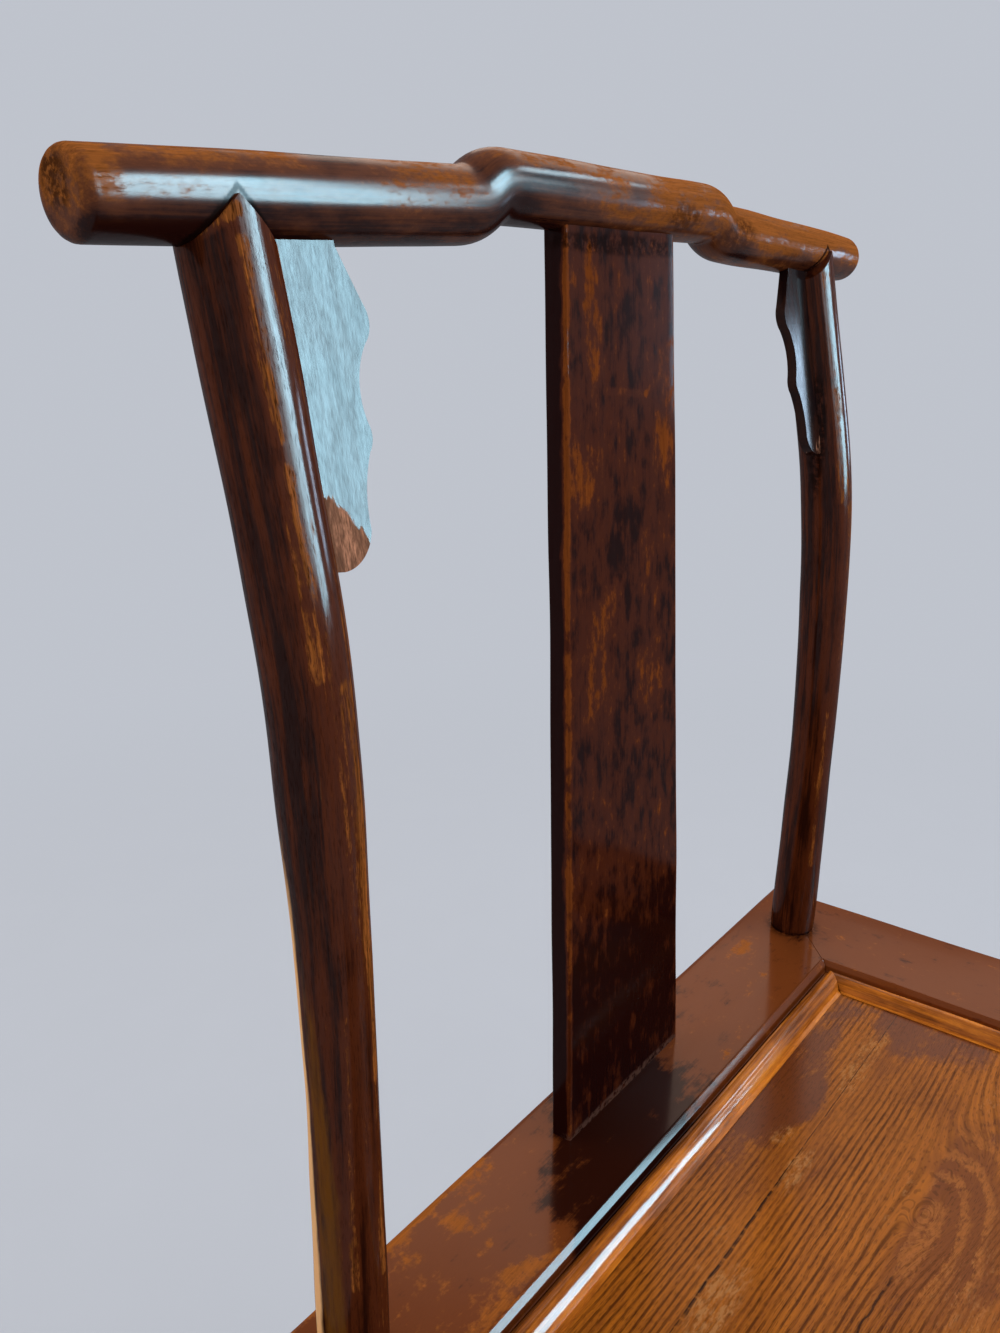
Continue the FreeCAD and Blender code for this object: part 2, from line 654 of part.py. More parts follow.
def bead_strip(name, along_x, place):
    """One of the four bead strips that lie on the panel's border."""
    body = new_body(name)
    if along_x:
        edge = "inner_rear" if place == "1" else "inner_front"
        section = draw_outline(body, name + "_section", "YZ_Plane",
                               bead_section(f"{edge} - {place} * bead_gap", f"-1 * {place}"))
        pad(body, name + "_length", section, "2 * (inner_x - bead_gap)", "Symmetric")
        corners = [(side, place) for _, side in SIDES]
    else:
        section = draw_outline(body, name + "_section", "XZ_Plane",
                               bead_section(f"{place} * (inner_x - bead_gap)", f"-1 * {place}"))
        pad(body, name + "_length", section, "-inner_front - bead_gap", "Two sides",
            "inner_rear - bead_gap")
        corners = [(place, end) for end in ("-1", "1")]
    for count, (side, end) in enumerate(corners, start=1):
        bead_mitre(body, f"{name}_mitre_{count}", side, end, along_x)
    finish(name, body)


def panel_timber():
    """Seat panel: a thick middle and a thinner tongue all round."""
    body = new_body("seat_panel_timber")
    middle = draw_box(body, "panel_middle_outline", "XY_Plane",
                      ("panel_gap - inner_x", "inner_front + panel_gap"),
                      ("inner_x - panel_gap", "inner_rear - panel_gap"), "panel_bottom")
    pad(body, "panel_middle", middle, "panel_thickness")
    tongue = "panel_housing - panel_play"
    border = draw_box(body, "panel_tongue_outline", "XY_Plane",
                      (f"-inner_x - ({tongue})", f"inner_front - ({tongue})"),
                      (f"inner_x + ({tongue})", f"inner_rear + ({tongue})"),
                      "panel_top - panel_tongue")
    pad(body, "panel_tongue_pad", border, "panel_tongue")
    return body


def batten_timber(name, side):
    """Batten under the panel: dovetailed into it and tenoned into the front and rear rails."""
    body = new_body(name)
    x = f"{side} * batten_spacing / 2"
    section = draw_outline(body, name + "_section", "XZ_Plane", [
        (f"{x} + batten_width / 2", "under_seat"),
        (f"{x} + batten_waist / 2", "panel_bottom"),
        (f"{x} + batten_width / 2", "panel_bottom + batten_dovetail"),
        (f"{x} - batten_width / 2", "panel_bottom + batten_dovetail"),
        (f"{x} - batten_waist / 2", "panel_bottom"),
        (f"{x} - batten_width / 2", "under_seat"),
    ])
    pad(body, name + "_bar", section, "-inner_front - panel_gap", "Two sides",
        "inner_rear - panel_gap")
    tenons = draw_box(
        body, name + "_tenon_section", "XZ_Plane",
        (f"{x} - batten_tenon_width / 2", "under_seat + batten_tenon_rise"),
        (f"{x} + batten_tenon_width / 2",
         "under_seat + batten_tenon_rise + batten_tenon_thickness"))
    pad(body, name + "_tenons", tenons, "batten_tenon - inner_front", "Two sides",
        "inner_rear + batten_tenon")
    finish(name, body)
    return body


def board(name, role, steps, axis, angle, x, y):
    """Thin board under the seat frame, tilted with the legs that hold it."""
    body = new_body(name)
    outline = draw_outline(body, name + "_outline", role, steps)
    pad(body, name + "_board", outline, "apron_thickness", "Symmetric")
    tilt(body, axis, angle, x, y, "under_seat")
    finish(name, body)
    return body


def front_boards():
    """Front apron with a kunmen edge, and the two jambs that carry its line down."""
    span = "(post_x - apron_end)"
    opening = f"({span} - jamb_width)"
    right, left = [], []
    for through_x, through_z, to_x, to_z in KUNMEN_SHARES:
        right.append((f"{through_x} * {opening}", f"-{through_z} * front_apron_depth",
                      f"{to_x} * {opening}", f"-{to_z} * front_apron_depth"))
    starts = [("0", f"-{KUNMEN_PEAK_SHARE} * front_apron_depth")]
    starts += [step[2:] for step in right[:-1]]
    for step, start in zip(reversed(right), reversed(starts)):
        left.append((f"-1 * ({step[0]})", step[1], f"-1 * ({start[0]})", start[1]))
    mitre_z = "-(front_apron_depth - jamb_width)"
    steps = right + [
        (span, mitre_z),
        (span, "apron_rail_housing"),
        (f"-{span}", "apron_rail_housing"),
        (f"-{span}", mitre_z),
        (f"-{opening}", "-front_apron_depth"),
    ] + left
    tilted = (FreeCAD.Vector(1, 0, 0), "-atan(splay_slope)", "0", "front_leg_y")
    apron = board("front_apron", "XZ_Plane", steps, *tilted)
    drop = "(under_seat - footrest_top)"
    foot = f"{drop} * sqrt(1 + splay_slope * splay_slope)"
    jambs = {}
    for name, side in SIDES:
        outer_foot = f"({span} + splay_slope * {drop})"
        middle_drop = f"(front_apron_depth + {drop}) / 2"
        middle = f"({span} + splay_slope * {middle_drop} - {JAMB_CURVE_SHARES[0]} * jamb_width)"
        jambs[name] = board(f"front_jamb_{name}", "XZ_Plane", [
            (f"{side} * {opening}", "-front_apron_depth"),
            (f"{side} * {middle}", f"-{middle_drop}",
             f"{side} * ({outer_foot} - {JAMB_FOOT_SHARE} * jamb_width)", f"-{foot}"),
            (f"{side} * {outer_foot}", f"-{foot}"),
            (f"{side} * {span}", mitre_z),
        ], *tilted)
    return apron, jambs


def plain_apron(name, ear_names, role, low, high, axis, angle, x, y):
    """Straight apron between two legs with an ear under each end. Low and high are the legs' axes
    along the apron, just under the seat frame."""
    def end(drop, sign):
        if sign == "-1":
            return f"({low} + apron_end - splay_slope * ({drop}))"
        return f"({high} - apron_end + splay_slope * ({drop}))"

    top, bottom = "apron_rail_housing", "side_apron_depth"
    strip = board(name, role, [
        (end(bottom, "1"), f"-{bottom}"),
        (end("0", "1"), "0"),
        (end("0", "1"), top),
        (end("0", "-1"), top),
        (end("0", "-1"), "0"),
        (end(bottom, "-1"), f"-{bottom}"),
    ], axis, angle, x, y)
    ears = []
    tip = "(side_apron_depth + ear_drop)"
    for ear_name, sign in zip(ear_names, ("-1", "1")):
        corner = end(bottom, sign)
        through = (f"{corner} - {sign} * {EAR_CURVE_SHARES[0]} * ear_width",
                   f"-(side_apron_depth + {EAR_CURVE_SHARES[1]} * ear_drop)")
        ears.append(board(ear_name, role, [
            (f"{corner} - {sign} * ear_width", f"-{bottom}"),
            through + (end(tip, sign), f"-{tip}"),
            (corner, f"-{bottom}"),
        ], axis, angle, x, y))
    return [strip] + ears


def fit_stretcher(name, blank, tenon, legs):
    """Finish a stretcher: coped to its mortised legs, with one tenon run through both."""
    finish(name, cut(name, fuse(name + "_with_tenon", blank, tenon), *legs))


def stretcher_section(across, z):
    """Outline of a stretcher's section: upright sides, rounded top and bottom."""
    half = "stretcher_thickness / 2"
    straight = "(stretcher_depth / 2 - stretcher_crown)"
    return [
        (f"{across} + {half}", f"{z} + {straight}"),
        (across, f"{z} + stretcher_depth / 2", f"{across} - {half}", f"{z} + {straight}"),
        (f"{across} - {half}", f"{z} - {straight}"),
        (across, f"{z} - stretcher_depth / 2", f"{across} + {half}", f"{z} - {straight}"),
    ]


def side_stretcher_parts(name, side):
    """Blank and tenon of a side stretcher."""
    z = "side_stretcher_height"
    x = f"({leg_x(side, z)})"
    body = new_body(name + "_blank")
    section = draw_outline(
        body, name + "_section", "XZ_Plane", stretcher_section(x, z))
    pad(body, name + "_bar", section, f"-{front_leg_y_at(z)}", "Two sides", rear_leg_y(z))
    tenon = block(
        name + "_tenon",
        (f"{x} - tenon_thickness / 2", f"{front_leg_y_at(z)} - leg_slack", f"{z} - tenon_width / 2"),
        (f"{x} + tenon_thickness / 2", f"{rear_leg_y(z)} + leg_slack", f"{z} + tenon_width / 2"))
    return body, tenon


def rear_stretcher_parts():
    """Blank and tenon of the rear stretcher."""
    z = "rear_stretcher_height"
    y = rear_leg_y(z)
    body = new_body("rear_stretcher_blank")
    section = draw_outline(
        body, "rear_stretcher_section", "YZ_Plane", stretcher_section(y, z))
    pad(body, "rear_stretcher_bar", section, f"2 * {leg_x('1', z)}", "Symmetric")
    reach = f"({leg_x('1', z)} + leg_slack)"
    tenon = block(
        "rear_stretcher_tenon",
        (f"-{reach}", f"{y} - tenon_thickness / 2", f"{z} - tenon_width / 2"),
        (reach, f"{y} + tenon_thickness / 2", f"{z} + tenon_width / 2"))
    return body, tenon


def footrest_parts():
    """Blank and tenon of the footrest."""
    z = "footrest_middle"
    y = front_leg_y_at(z)
    body = new_body("footrest_blank")
    section = draw_box(
        body, "footrest_section", "YZ_Plane",
        (f"{y} - footrest_forward - footrest_depth / 2", "footrest_top - footrest_thickness"),
        (f"{y} - footrest_forward + footrest_depth / 2", "footrest_top"))
    bar = pad(body, "footrest_bar", section, f"2 * {leg_x('1', z)}", "Symmetric")
    long_edge = number("seat_width / 2")
    round_edges(body, "footrest_edges", bar, "footrest_round",
                lambda edge: edge.BoundBox.XLength > long_edge)
    reach = f"({leg_x('1', z)} + leg_slack)"
    tenon = block(
        "footrest_tenon",
        (f"-{reach}", f"{y} - tenon_width / 2", f"{z} - tenon_thickness / 2"),
        (reach, f"{y} + tenon_width / 2", f"{z} + tenon_thickness / 2"))
    return body, tenon


def footrest_apron_board():
    """Strip under the footrest, let into the front legs."""
    top = "footrest_top - footrest_thickness"
    bottom = f"{top} - footrest_apron_depth"
    y = front_leg_y_at(top)
    body = new_body("footrest_apron")
    outline = []
    for height, sign in ((bottom, "1"), (top, "1"), (top, "-1"), (bottom, "-1")):
        outline.append((f"{sign} * ({leg_x('1', height)} - apron_end)", height))
    sketch = draw_outline(body, "footrest_apron_outline", "XZ_Plane", outline, f"-{y}")
    pad(body, "footrest_apron_board", sketch, "apron_thickness", "Symmetric")
    finish("footrest_apron", body)
    return body


def neck_hole(name, side):
    """Round hole for a post's neck in the mitred corner of the seat frame."""
    hole = doc.addObject("Part::Cylinder", name)
    bind(hole, "Radius", "post_neck / 2")
    bind(hole, "Height", "frame_thickness + 2 * overrun")
    bind(hole, "Placement.Base.x", f"{side} * post_x")
    bind(hole, "Placement.Base.y", "post_y")
    bind(hole, "Placement.Base.z", "under_seat - overrun")
    return hole


def post_tenon_block(name, side):
    """Square tenon between a post's head and the crest rail."""
    x = f"{side} * post_x"
    root = "crest_z - crest_diameter / 2 - post_tenon"
    return block(name,
                 (f"{x} - post_tenon / 2", "crest_y - post_tenon / 2", root),
                 (f"{x} + post_tenon / 2", "crest_y + post_tenon / 2", "crest_z + post_tenon_rise"))


def corner_tenon(name, end):
    """Tenon of a long rail, run through the rail into both side rails."""
    inner = "inner_rear" if end == "1" else "inner_front"
    near = f"{inner} + {end} * corner_tenon_inset"
    far = f"{inner} + {end} * (corner_tenon_inset + corner_tenon_width)"
    low, high = (near, far) if end == "1" else (far, near)
    reach = "(seat_width / 2 - corner_tenon_cover)"
    top = "seat_height - corner_tenon_drop"
    return block(name, (f"-{reach}", low, f"{top} - corner_tenon_thickness"), (reach, high, top))


def build_back():
    """Crest rail, posts, splat and spandrels before they are cut to each other."""
    crest = crest_timber()
    splat = splat_timber()
    posts, spandrels, tenons = {}, {}, {}
    for name, side in SIDES:
        posts[name] = rear_post_timber("rear_post_" + name, side)
        spandrels[name] = spandrel_timber("spandrel_" + name, side)
        tenons[name] = post_tenon_block("post_tenon_" + name, side)
    return crest, splat, posts, spandrels, tenons


def build_under_frame():
    """Aprons, and the blanks and tenons of the stretchers. Gives what is housed in each leg and in
    each rail, and the stretchers' parts."""
    in_leg = {(end, side): [] for end in ("front", "rear") for side, _ in SIDES}
    in_rail = {"front": [], "rear": [], "left": [], "right": []}
    apron, jambs = front_boards()
    in_rail["front"].append(apron)
    stretchers = {"rear_stretcher": rear_stretcher_parts(), "footrest": footrest_parts()}
    for side, sign in SIDES:
        name = "side_apron_" + side
        strip, front_ear, rear_ear = plain_apron(
            name, (name + "_ear_front", name + "_ear_rear"), "YZ_Plane", "front_leg_y", "post_y",
            FreeCAD.Vector(0, 1, 0), f"-{sign} * atan(splay_slope)", f"{sign} * post_x", "0")
        stretcher = "side_stretcher_" + side
        stretchers[stretcher] = side_stretcher_parts(stretcher, sign)
        in_leg["front", side] += [apron, jambs[side], strip, front_ear, stretchers[stretcher][1]]
        in_leg["rear", side] += [strip, rear_ear, stretchers[stretcher][1]]
        in_rail[side].append(strip)
    strip, *ears = plain_apron(
        "rear_apron", ("rear_apron_ear_left", "rear_apron_ear_right"), "XZ_Plane", "-post_x",
        "post_x", FreeCAD.Vector(1, 0, 0), "atan(splay_slope)", "0", "post_y")
    in_rail["rear"].append(strip)
    rest_apron = footrest_apron_board()
    for (side, _), ear in zip(SIDES, ears):
        in_leg["rear", side] += [strip, ear, stretchers["rear_stretcher"][1]]
        in_leg["front", side] += [stretchers["footrest"][1], rest_apron]
    return in_leg, in_rail, stretchers


def assemble():
    """Build every timber, and cut each to the pieces that it holds."""
    crest, splat, posts, spandrels, tenons = build_back()
    legs = {name: front_leg_timber("front_leg_" + name, side) for name, side in SIDES}
    in_leg, in_rail, stretchers = build_under_frame()
    finish("crest_rail", cut("crest_rail", crest, splat, *tenons.values(), *spandrels.values()))
    finish("back_splat", splat)
    for name, _ in SIDES:
        coped = cut(f"rear_post_{name}_coped", posts[name], crest)
        headed = fuse(f"rear_post_{name}_headed", coped, tenons[name])
        finish("rear_post_" + name,
               cut("rear_post_" + name, headed, spandrels[name], *in_leg["rear", name]))
        finish("front_leg_" + name, cut("front_leg_" + name, legs[name], *in_leg["front", name]))
        finish("spandrel_" + name, spandrels[name])
    fore = [nodes["front_leg_" + name] for name, _ in SIDES]
    hind = [nodes["rear_post_" + name] for name, _ in SIDES]
    fit_stretcher("footrest", *stretchers["footrest"], fore)
    fit_stretcher("rear_stretcher", *stretchers["rear_stretcher"], hind)
    for (name, _), front, rear in zip(SIDES, fore, hind):
        fit_stretcher("side_stretcher_" + name, *stretchers["side_stretcher_" + name],
                      [front, rear])
    necks = {name: neck_hole("neck_hole_" + name, side) for name, side in SIDES}
    battens = [batten_timber("batten_" + name, side) for name, side in SIDES]
    corner = {"front": corner_tenon("front_rail_tenon", "-1"),
              "rear": corner_tenon("rear_rail_tenon", "1")}
    for name, end in (("front", "-1"), ("rear", "1")):
        timber = fuse(f"seat_rail_{name}_joined", long_rail_timber("seat_rail_" + name, end),
                      corner[name])
        held = [*necks.values(), splat] if name == "rear" else list(legs.values())
        finish("seat_rail_" + name,
               cut("seat_rail_" + name, timber, *held, *battens, *in_rail[name]))
    for name, side in SIDES:
        finish("seat_rail_" + name,
               cut("seat_rail_" + name, side_rail_timber("seat_rail_" + name, side),
                   *corner.values(), necks[name], legs[name], *in_rail[name]))
    finish("seat_panel", cut("seat_panel", panel_timber(), *battens))
    bead_strip("bead_strip_front", True, "-1")
    bead_strip("bead_strip_rear", True, "1")
    bead_strip("bead_strip_left", False, "-1")
    bead_strip("bead_strip_right", False, "1")


def check_and_write():
    """Stop on any failed object or bad shape, then write each piece to its own file."""
    doc.recompute()
    failed = [item.Name for item in doc.Objects
              if "Invalid" in item.State or "Error" in item.State]
    if failed:
        raise RuntimeError("failed objects: " + ", ".join(failed))
    for name, item in nodes.items():
        shape = item.Shape
        if shape.isNull() or not shape.isValid() or len(shape.Solids) != 1:
            raise RuntimeError(f"{name}: not one valid solid")
    os.makedirs("parts", exist_ok=True)
    for name, item in nodes.items():
        item.Shape.exportStep(f"parts/{name}.step")
    whole = FreeCAD.BoundBox()
    for item in nodes.values():
        whole.add(item.Shape.BoundBox)
    print(f"{len(nodes)} pieces, {whole.XLength:.1f} x {whole.YLength:.1f} x {whole.ZLength:.1f} mm,",
          f"centre {whole.Center.x:.2f}, {whole.Center.y:.2f}, lowest {whole.ZMin:.2f}")


fill_sheets()
assemble()
check_and_write()
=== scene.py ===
"""Looks of an official's hat side chair, dressed over its fixed model.

Every timber is worked with bmesh operators in the model's own frame, in metres: +Z up, +X to the
right of someone who looks at the chair's front, and the front towards -Y. Old brown lacquer, rubbed
through to the wood by hands, backs and clothes, is drawn by node materials that follow the grain.
"""

from __future__ import annotations

import json
import logging
import math
from dataclasses import dataclass
from enum import Enum
from typing import Any, Callable, Mapping, Sequence, Union

import bmesh
import bpy
from mathutils import Matrix, Vector, noise
from mathutils.geometry import interpolate_bezier

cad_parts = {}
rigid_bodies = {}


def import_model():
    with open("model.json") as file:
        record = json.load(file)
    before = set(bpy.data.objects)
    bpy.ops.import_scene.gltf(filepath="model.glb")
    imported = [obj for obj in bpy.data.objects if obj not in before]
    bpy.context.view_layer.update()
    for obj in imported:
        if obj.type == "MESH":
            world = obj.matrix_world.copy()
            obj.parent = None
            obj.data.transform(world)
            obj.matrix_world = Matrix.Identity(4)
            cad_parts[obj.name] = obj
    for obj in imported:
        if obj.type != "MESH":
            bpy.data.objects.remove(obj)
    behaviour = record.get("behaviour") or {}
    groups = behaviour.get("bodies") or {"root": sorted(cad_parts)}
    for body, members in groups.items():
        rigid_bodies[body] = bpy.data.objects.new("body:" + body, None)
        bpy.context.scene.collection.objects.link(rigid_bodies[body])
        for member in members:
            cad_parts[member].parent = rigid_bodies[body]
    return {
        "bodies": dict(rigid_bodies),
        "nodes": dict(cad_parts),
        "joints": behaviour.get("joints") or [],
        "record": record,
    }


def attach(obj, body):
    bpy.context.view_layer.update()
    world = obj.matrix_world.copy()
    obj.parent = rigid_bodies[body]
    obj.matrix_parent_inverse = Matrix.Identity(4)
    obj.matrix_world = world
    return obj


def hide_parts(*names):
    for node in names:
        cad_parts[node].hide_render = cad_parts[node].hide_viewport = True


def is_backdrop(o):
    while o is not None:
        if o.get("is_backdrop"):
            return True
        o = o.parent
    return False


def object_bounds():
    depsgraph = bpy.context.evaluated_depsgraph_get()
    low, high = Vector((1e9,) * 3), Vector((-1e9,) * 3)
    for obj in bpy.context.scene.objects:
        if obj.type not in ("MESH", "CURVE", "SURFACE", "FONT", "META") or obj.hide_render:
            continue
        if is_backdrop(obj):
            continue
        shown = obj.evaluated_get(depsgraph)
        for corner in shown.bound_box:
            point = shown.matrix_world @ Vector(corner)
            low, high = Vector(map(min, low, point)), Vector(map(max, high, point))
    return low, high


LOG = logging.getLogger("official_hat_chair")
MM = 0.001
WHOLE_TURN = 2.0 * math.pi
UP = Vector((0.0, 0.0, 1.0))
Colour = tuple[float, float, float]
Point = tuple[float, float, float]
Pair = tuple[float, float]
SIDES = (("left", -1.0), ("right", 1.0))
SOOT: Colour = (0.007, 0.002, 0.0012)


class Grain(Enum):
    """Which way the grain of a timber runs."""

    SIDEWAYS = "along X"
    FORWARD = "along Y"
    UPRIGHT = "along Z"
    CARRIED = "with the timber's own line"


class Slot(Enum):
    """Material slots of the model's record."""

    DARK = "dark_lacquer"
    WORN = "worn_lacquer"
    FRAME = "frame_lacquer"
    SEAT = "seat_wood"
    BARE = "bare_wood"


def operator(operation: str, swapped: bool = False) -> Callable[["Value", "Term"], Any]:
    """Make the method behind an operator, which adds one node."""
    def method(own: "Value", other: "Term") -> Any:
        return own.work(operation, *((other, own) if swapped else (own, other)))
    return method


class Value:
    """A number in a material: a socket whose operators add Math nodes."""

    maths = "ShaderNodeMath"

    def __init__(self, desk: "Desk", socket: bpy.types.NodeSocket) -> None:
        """Hold a socket of a desk's node tree."""
        self.desk = desk
        self.socket = socket

    def work(self, operation: str, *terms: "Term") -> Any:
        """Add one node that works on some terms, and give its result."""
        return self.desk.node(self.maths, {"operation": operation}, dict(enumerate(terms)))

    __add__, __radd__ = operator("ADD"), operator("ADD", True)
    __sub__, __rsub__ = operator("SUBTRACT"), operator("SUBTRACT", True)
    __mul__, __rmul__ = operator("MULTIPLY"), operator("MULTIPLY", True)
    __truediv__ = operator("DIVIDE")

    def __abs__(self) -> Any:
        """Size without its sign."""
        return self.work("ABSOLUTE", self)

    def rise(self, low: float, high: float) -> "Value":
        """Go smoothly from 0 at one value to 1 at another."""
        return self.desk.node("ShaderNodeMapRange", {"interpolation_type": "SMOOTHSTEP"},
                              {0: self, 1: low, 2: high, 3: 0.0, 4: 1.0})

    def swell(self) -> "Value":
        """Give e to the minus value."""
        return self.work("EXPONENT", self * -1.0)

    def wave(self) -> "Value":
        """Give a sine between 0 and 1."""
        return 0.5 + 0.5 * self.work("SINE", self)


class Field(Value):
    """A vector in a material: a socket whose operators add Vector Math nodes."""

    maths = "ShaderNodeVectorMath"

    def parts(self) -> tuple[Value, Value, Value]:
        """Split into three numbers."""
        split = self.desk.node("ShaderNodeSeparateXYZ", {}, {0: self}).socket.node
        return tuple(Value(self.desk, socket) for socket in split.outputs)

    def size(self) -> Value:
        """Give the length of the vector."""
        return self.desk.node(self.maths, {"operation": "LENGTH"}, {0: self}, "Value")

    def along(self, direction: Sequence[float]) -> Value:
        """Give how far the vector reaches along another one."""
        return self.desk.node(self.maths, {"operation": "DOT_PRODUCT"}, {0: self, 1: direction},
                              "Value")


Term = Union[Value, float, Sequence[float]]


class Desk:
    """The node tree of one material or of the world, and the ways to add to it."""

    def __init__(self, owner: Union[bpy.types.Material, bpy.types.World]) -> None:
        """Start with an empty tree."""
        owner.use_nodes = True
        self.owner, self.tree = owner, owner.node_tree
        self.tree.nodes.clear()

    def node(self, kind: str, settings: Mapping[str, Any], inputs: Mapping[Any, Term],
             output: Union[int, str] = 0) -> Any:
        """Add a node of any type.

        Args:
            kind: the node's type
            settings: what is set on the node itself, such as its operation
            inputs: values or links of its sockets, by place or by name
            output: the output that is wanted

        Returns:
            a Field for a vector or colour output, and a Value for any other
        """
        added = self.tree.nodes.new(kind)
        for name, value in settings.items():
            setattr(added, name, value)
        for key, term in inputs.items():
            socket = added.inputs[key]
            if isinstance(term, Value):
                self.tree.links.new(term.socket, socket)
            elif socket.type == "RGBA":
                socket.default_value = (*term, 1.0)
            elif socket.type == "VECTOR" and isinstance(term, float):
                socket.default_value = (term, term, term)
            else:
                socket.default_value = term
        made = added.outputs[output]
        return (Field if made.type in ("VECTOR", "RGBA") else Value)(self, made)

    def show(self, shader: Value, target: str = "ShaderNodeOutputMaterial") -> None:
        """Link a shader to the tree's output."""
        added = self.tree.nodes.new(target)
        self.tree.links.new(shader.socket, added.inputs["Surface"])

    def place(self) -> Field:
        """Give the point of the piece that is being shaded, in metres."""
        return self.node("ShaderNodeTexCoord", {}, {}, "Object")

    def join(self, x: Term, y: Term, z: Term) -> Field:
        """Join three numbers to a vector."""
        return self.node("ShaderNodeCombineXYZ", {}, {0: x, 1: y, 2: z})

    def cloud(self, point: Field, scale: Term, detail: float, roughness: float = 0.5) -> Value:
        """Give soft noise around one half.

        Args:
            point: where it is read
            scale: how many bumps there are to a metre along each axis
            detail: how many finer layers it has
            roughness: how strong those layers are

        Returns:
            the noise
        """
        return self.node("ShaderNodeTexNoise", {"noise_dimensions": "3D"},
                         {"Vector": point * scale, "Scale": 1.0, "Detail": detail,
                          "Roughness": roughness})

    def mix(self, share: Term, first: Term, second: Term) -> Field:
        """Mix two colours, all of the second where the share is 1."""
        return self.node("ShaderNodeMix", {"data_type": "RGBA"}, {0: share, 6: first, 7: second}, 2)

    def tint(self, colour: Term, by: Value) -> Field:
        """Multiply a colour by a number."""
        return self.node("ShaderNodeVectorMath", {"operation": "MULTIPLY"},
                         {0: colour, 1: self.join(by, by, by)})

    def lie(self, grain: Grain, shift: float) -> tuple[Field, Field]:
        """Give the point across, across and along the grain.

        Args:
            grain: which way the grain runs
            shift: metres by which the pattern is moved, so that no two timbers are alike

        Returns:
            the point, and the same point moved by the shift
        """
        if grain is Grain.CARRIED:
            still = self.node("ShaderNodeAttribute", {"attribute_name": "grain"}, {}, "Vector")
        else:
            x, y, z = self.place().parts()
            turned = {Grain.SIDEWAYS: (y, z, x), Grain.FORWARD: (z, x, y),
                      Grain.UPRIGHT: (x, y, z)}[grain]
            still = self.join(*turned)
        return still, still + (shift, shift * 0.7, shift * 1.3)

    def surface(self, colour: Term, rough: Term, coat: Term, height: Value,
                coat_rough: float) -> bpy.types.Material:
        """Finish the material with one lacquered surface.

        Args:
            colour: base colour
            rough: roughness under the lacquer
            coat: how much clear lacquer lies on it
            height: relief, in tenths of a millimetre
            coat_rough: roughness of the lacquer, the same all over

        Returns:
            the material
        """
        bump = self.node("ShaderNodeBump", {},
                         {"Strength": 1.0, "Distance": 0.1 * MM, "Height": height})
        self.show(self.node("ShaderNodeBsdfPrincipled", {}, {
            "Base Color": colour, "Roughness": rough, "Coat Weight": coat,
            "Coat Roughness": coat_rough, "Coat IOR": 1.5, "Specular IOR Level": 0.0,
            "Normal": bump}))
        return self.owner


@dataclass(frozen=True)
class Rub:
    """A spot where the lacquer is thinner, or thicker where the amount is below 0."""

    centre: Point
    reach: Point
    amount: float

    def mask(self, place: Field) -> Value:
        """Give how much this spot adds at each point."""
        away = ((place - self.centre) / self.reach).size()
        return (1.0 - away.rise(0.3, 1.0)) * self.amount


@dataclass(frozen=True)
class Stroke:
    """A line of thinner lacquer, such as an arris, or thicker below zero; some paint shade."""

    start: Point
    end: Point
    reach: float
    amount: float
    fade: float = 0.0

    def mask(self, place: Field) -> Value:
        """Give how much this line adds at each point; it may fade in from its start."""
        desk, run = place.desk, Vector(self.end) - Vector(self.start)
        past = place - self.start
        share = desk.node("ShaderNodeClamp", {}, {0: past.along(run / run.length_squared)})
        away = (past - desk.tint(tuple(run), share)).size()
        strength = share.rise(0.0, self.fade) * self.amount if self.fade else self.amount
        return (1.0 - away.rise(self.reach * 0.3, self.reach)) * strength


Wear = Union[Rub, Stroke]


def wear(rows: Sequence[Sequence[float]], x: float = 0.0) -> tuple[Wear, ...]:
    """Read rubbed spots and lines.

    Args:
        rows: in millimetres a spot's centre and reach, or a line's start, end and reach, and then
            the amount; a line that fades in also gives the share of it over which it does
        x: metres by which all of them are moved to the right

    Returns:
        the spots and lines, in the same order
    """
    marks: list[Wear] = []
    for row in rows:
        one, two = (tuple(number * MM for number in row[at:at + 3]) for at in (0, 3))
        one = (one[0] + x, *one[1:])
        if len(row) == 7:
            marks.append(Rub(one, two, row[6]))
        else:
            marks.append(Stroke(one, (two[0] + x, *two[1:]), row[6] * MM, *row[7:]))
    return tuple(marks)


@dataclass(frozen=True)
class PaleLine:
    """Wood that hands have rubbed to another colour along a line; the tan one also paints rim
    light.
    """

    line: Stroke
    colour: Colour

    def mask(self, desk: Desk, place: Field) -> Value:
        """Give how much of that colour shows at each point."""
        broken = desk.cloud(place, (300.0, 300.0, 30.0), 4.0, 0.65)
        return (self.line.mask(place) + (broken - 0.5) * 1.1).rise(0.22, 0.8)


@dataclass(frozen=True)
class Stain:
    """Dust or dirt that has gathered in one place; some are painted shade."""

    centre: Point
    reach: Point
    colour: Colour
    amount: float

    def mask(self, desk: Desk, place: Field) -> Value:
        """Give how much of the spot's colour lies at each point."""
        away = ((place - self.centre) / self.reach).size()
        broken = desk.cloud(place, 260.0, 3.0, 0.7).rise(0.36, 0.56)
        return (1.0 - away.rise(0.55, 1.0)) * broken * self.amount


@dataclass(frozen=True)
class CopeLine:
    """Dirt along the pointed joint where a post meets the round crest rail."""

    post: Point
    turn: float
    reach: float = 0.0165
    colour: Colour = (0.006, 0.002, 0.0015)

    def mask(self, desk: Desk, place: Field) -> Value:
        """Give how much of the dirt lies at each point."""
        x, y, z = (place - self.post).parts()
        aside = abs(x * math.cos(self.turn) + y * math.sin(self.turn))
        off = abs(z + aside)
        uneven = desk.cloud(place, 300.0, 3.0, 0.7)
        line = 1.0 - (off + (uneven - 0.5) * 0.004).rise(0.0006, 0.0024)
        return line * (1.0 - aside.rise(self.reach, self.reach + 0.004)) * 0.95


Dirt = Union[Stain, PaleLine, CopeLine]


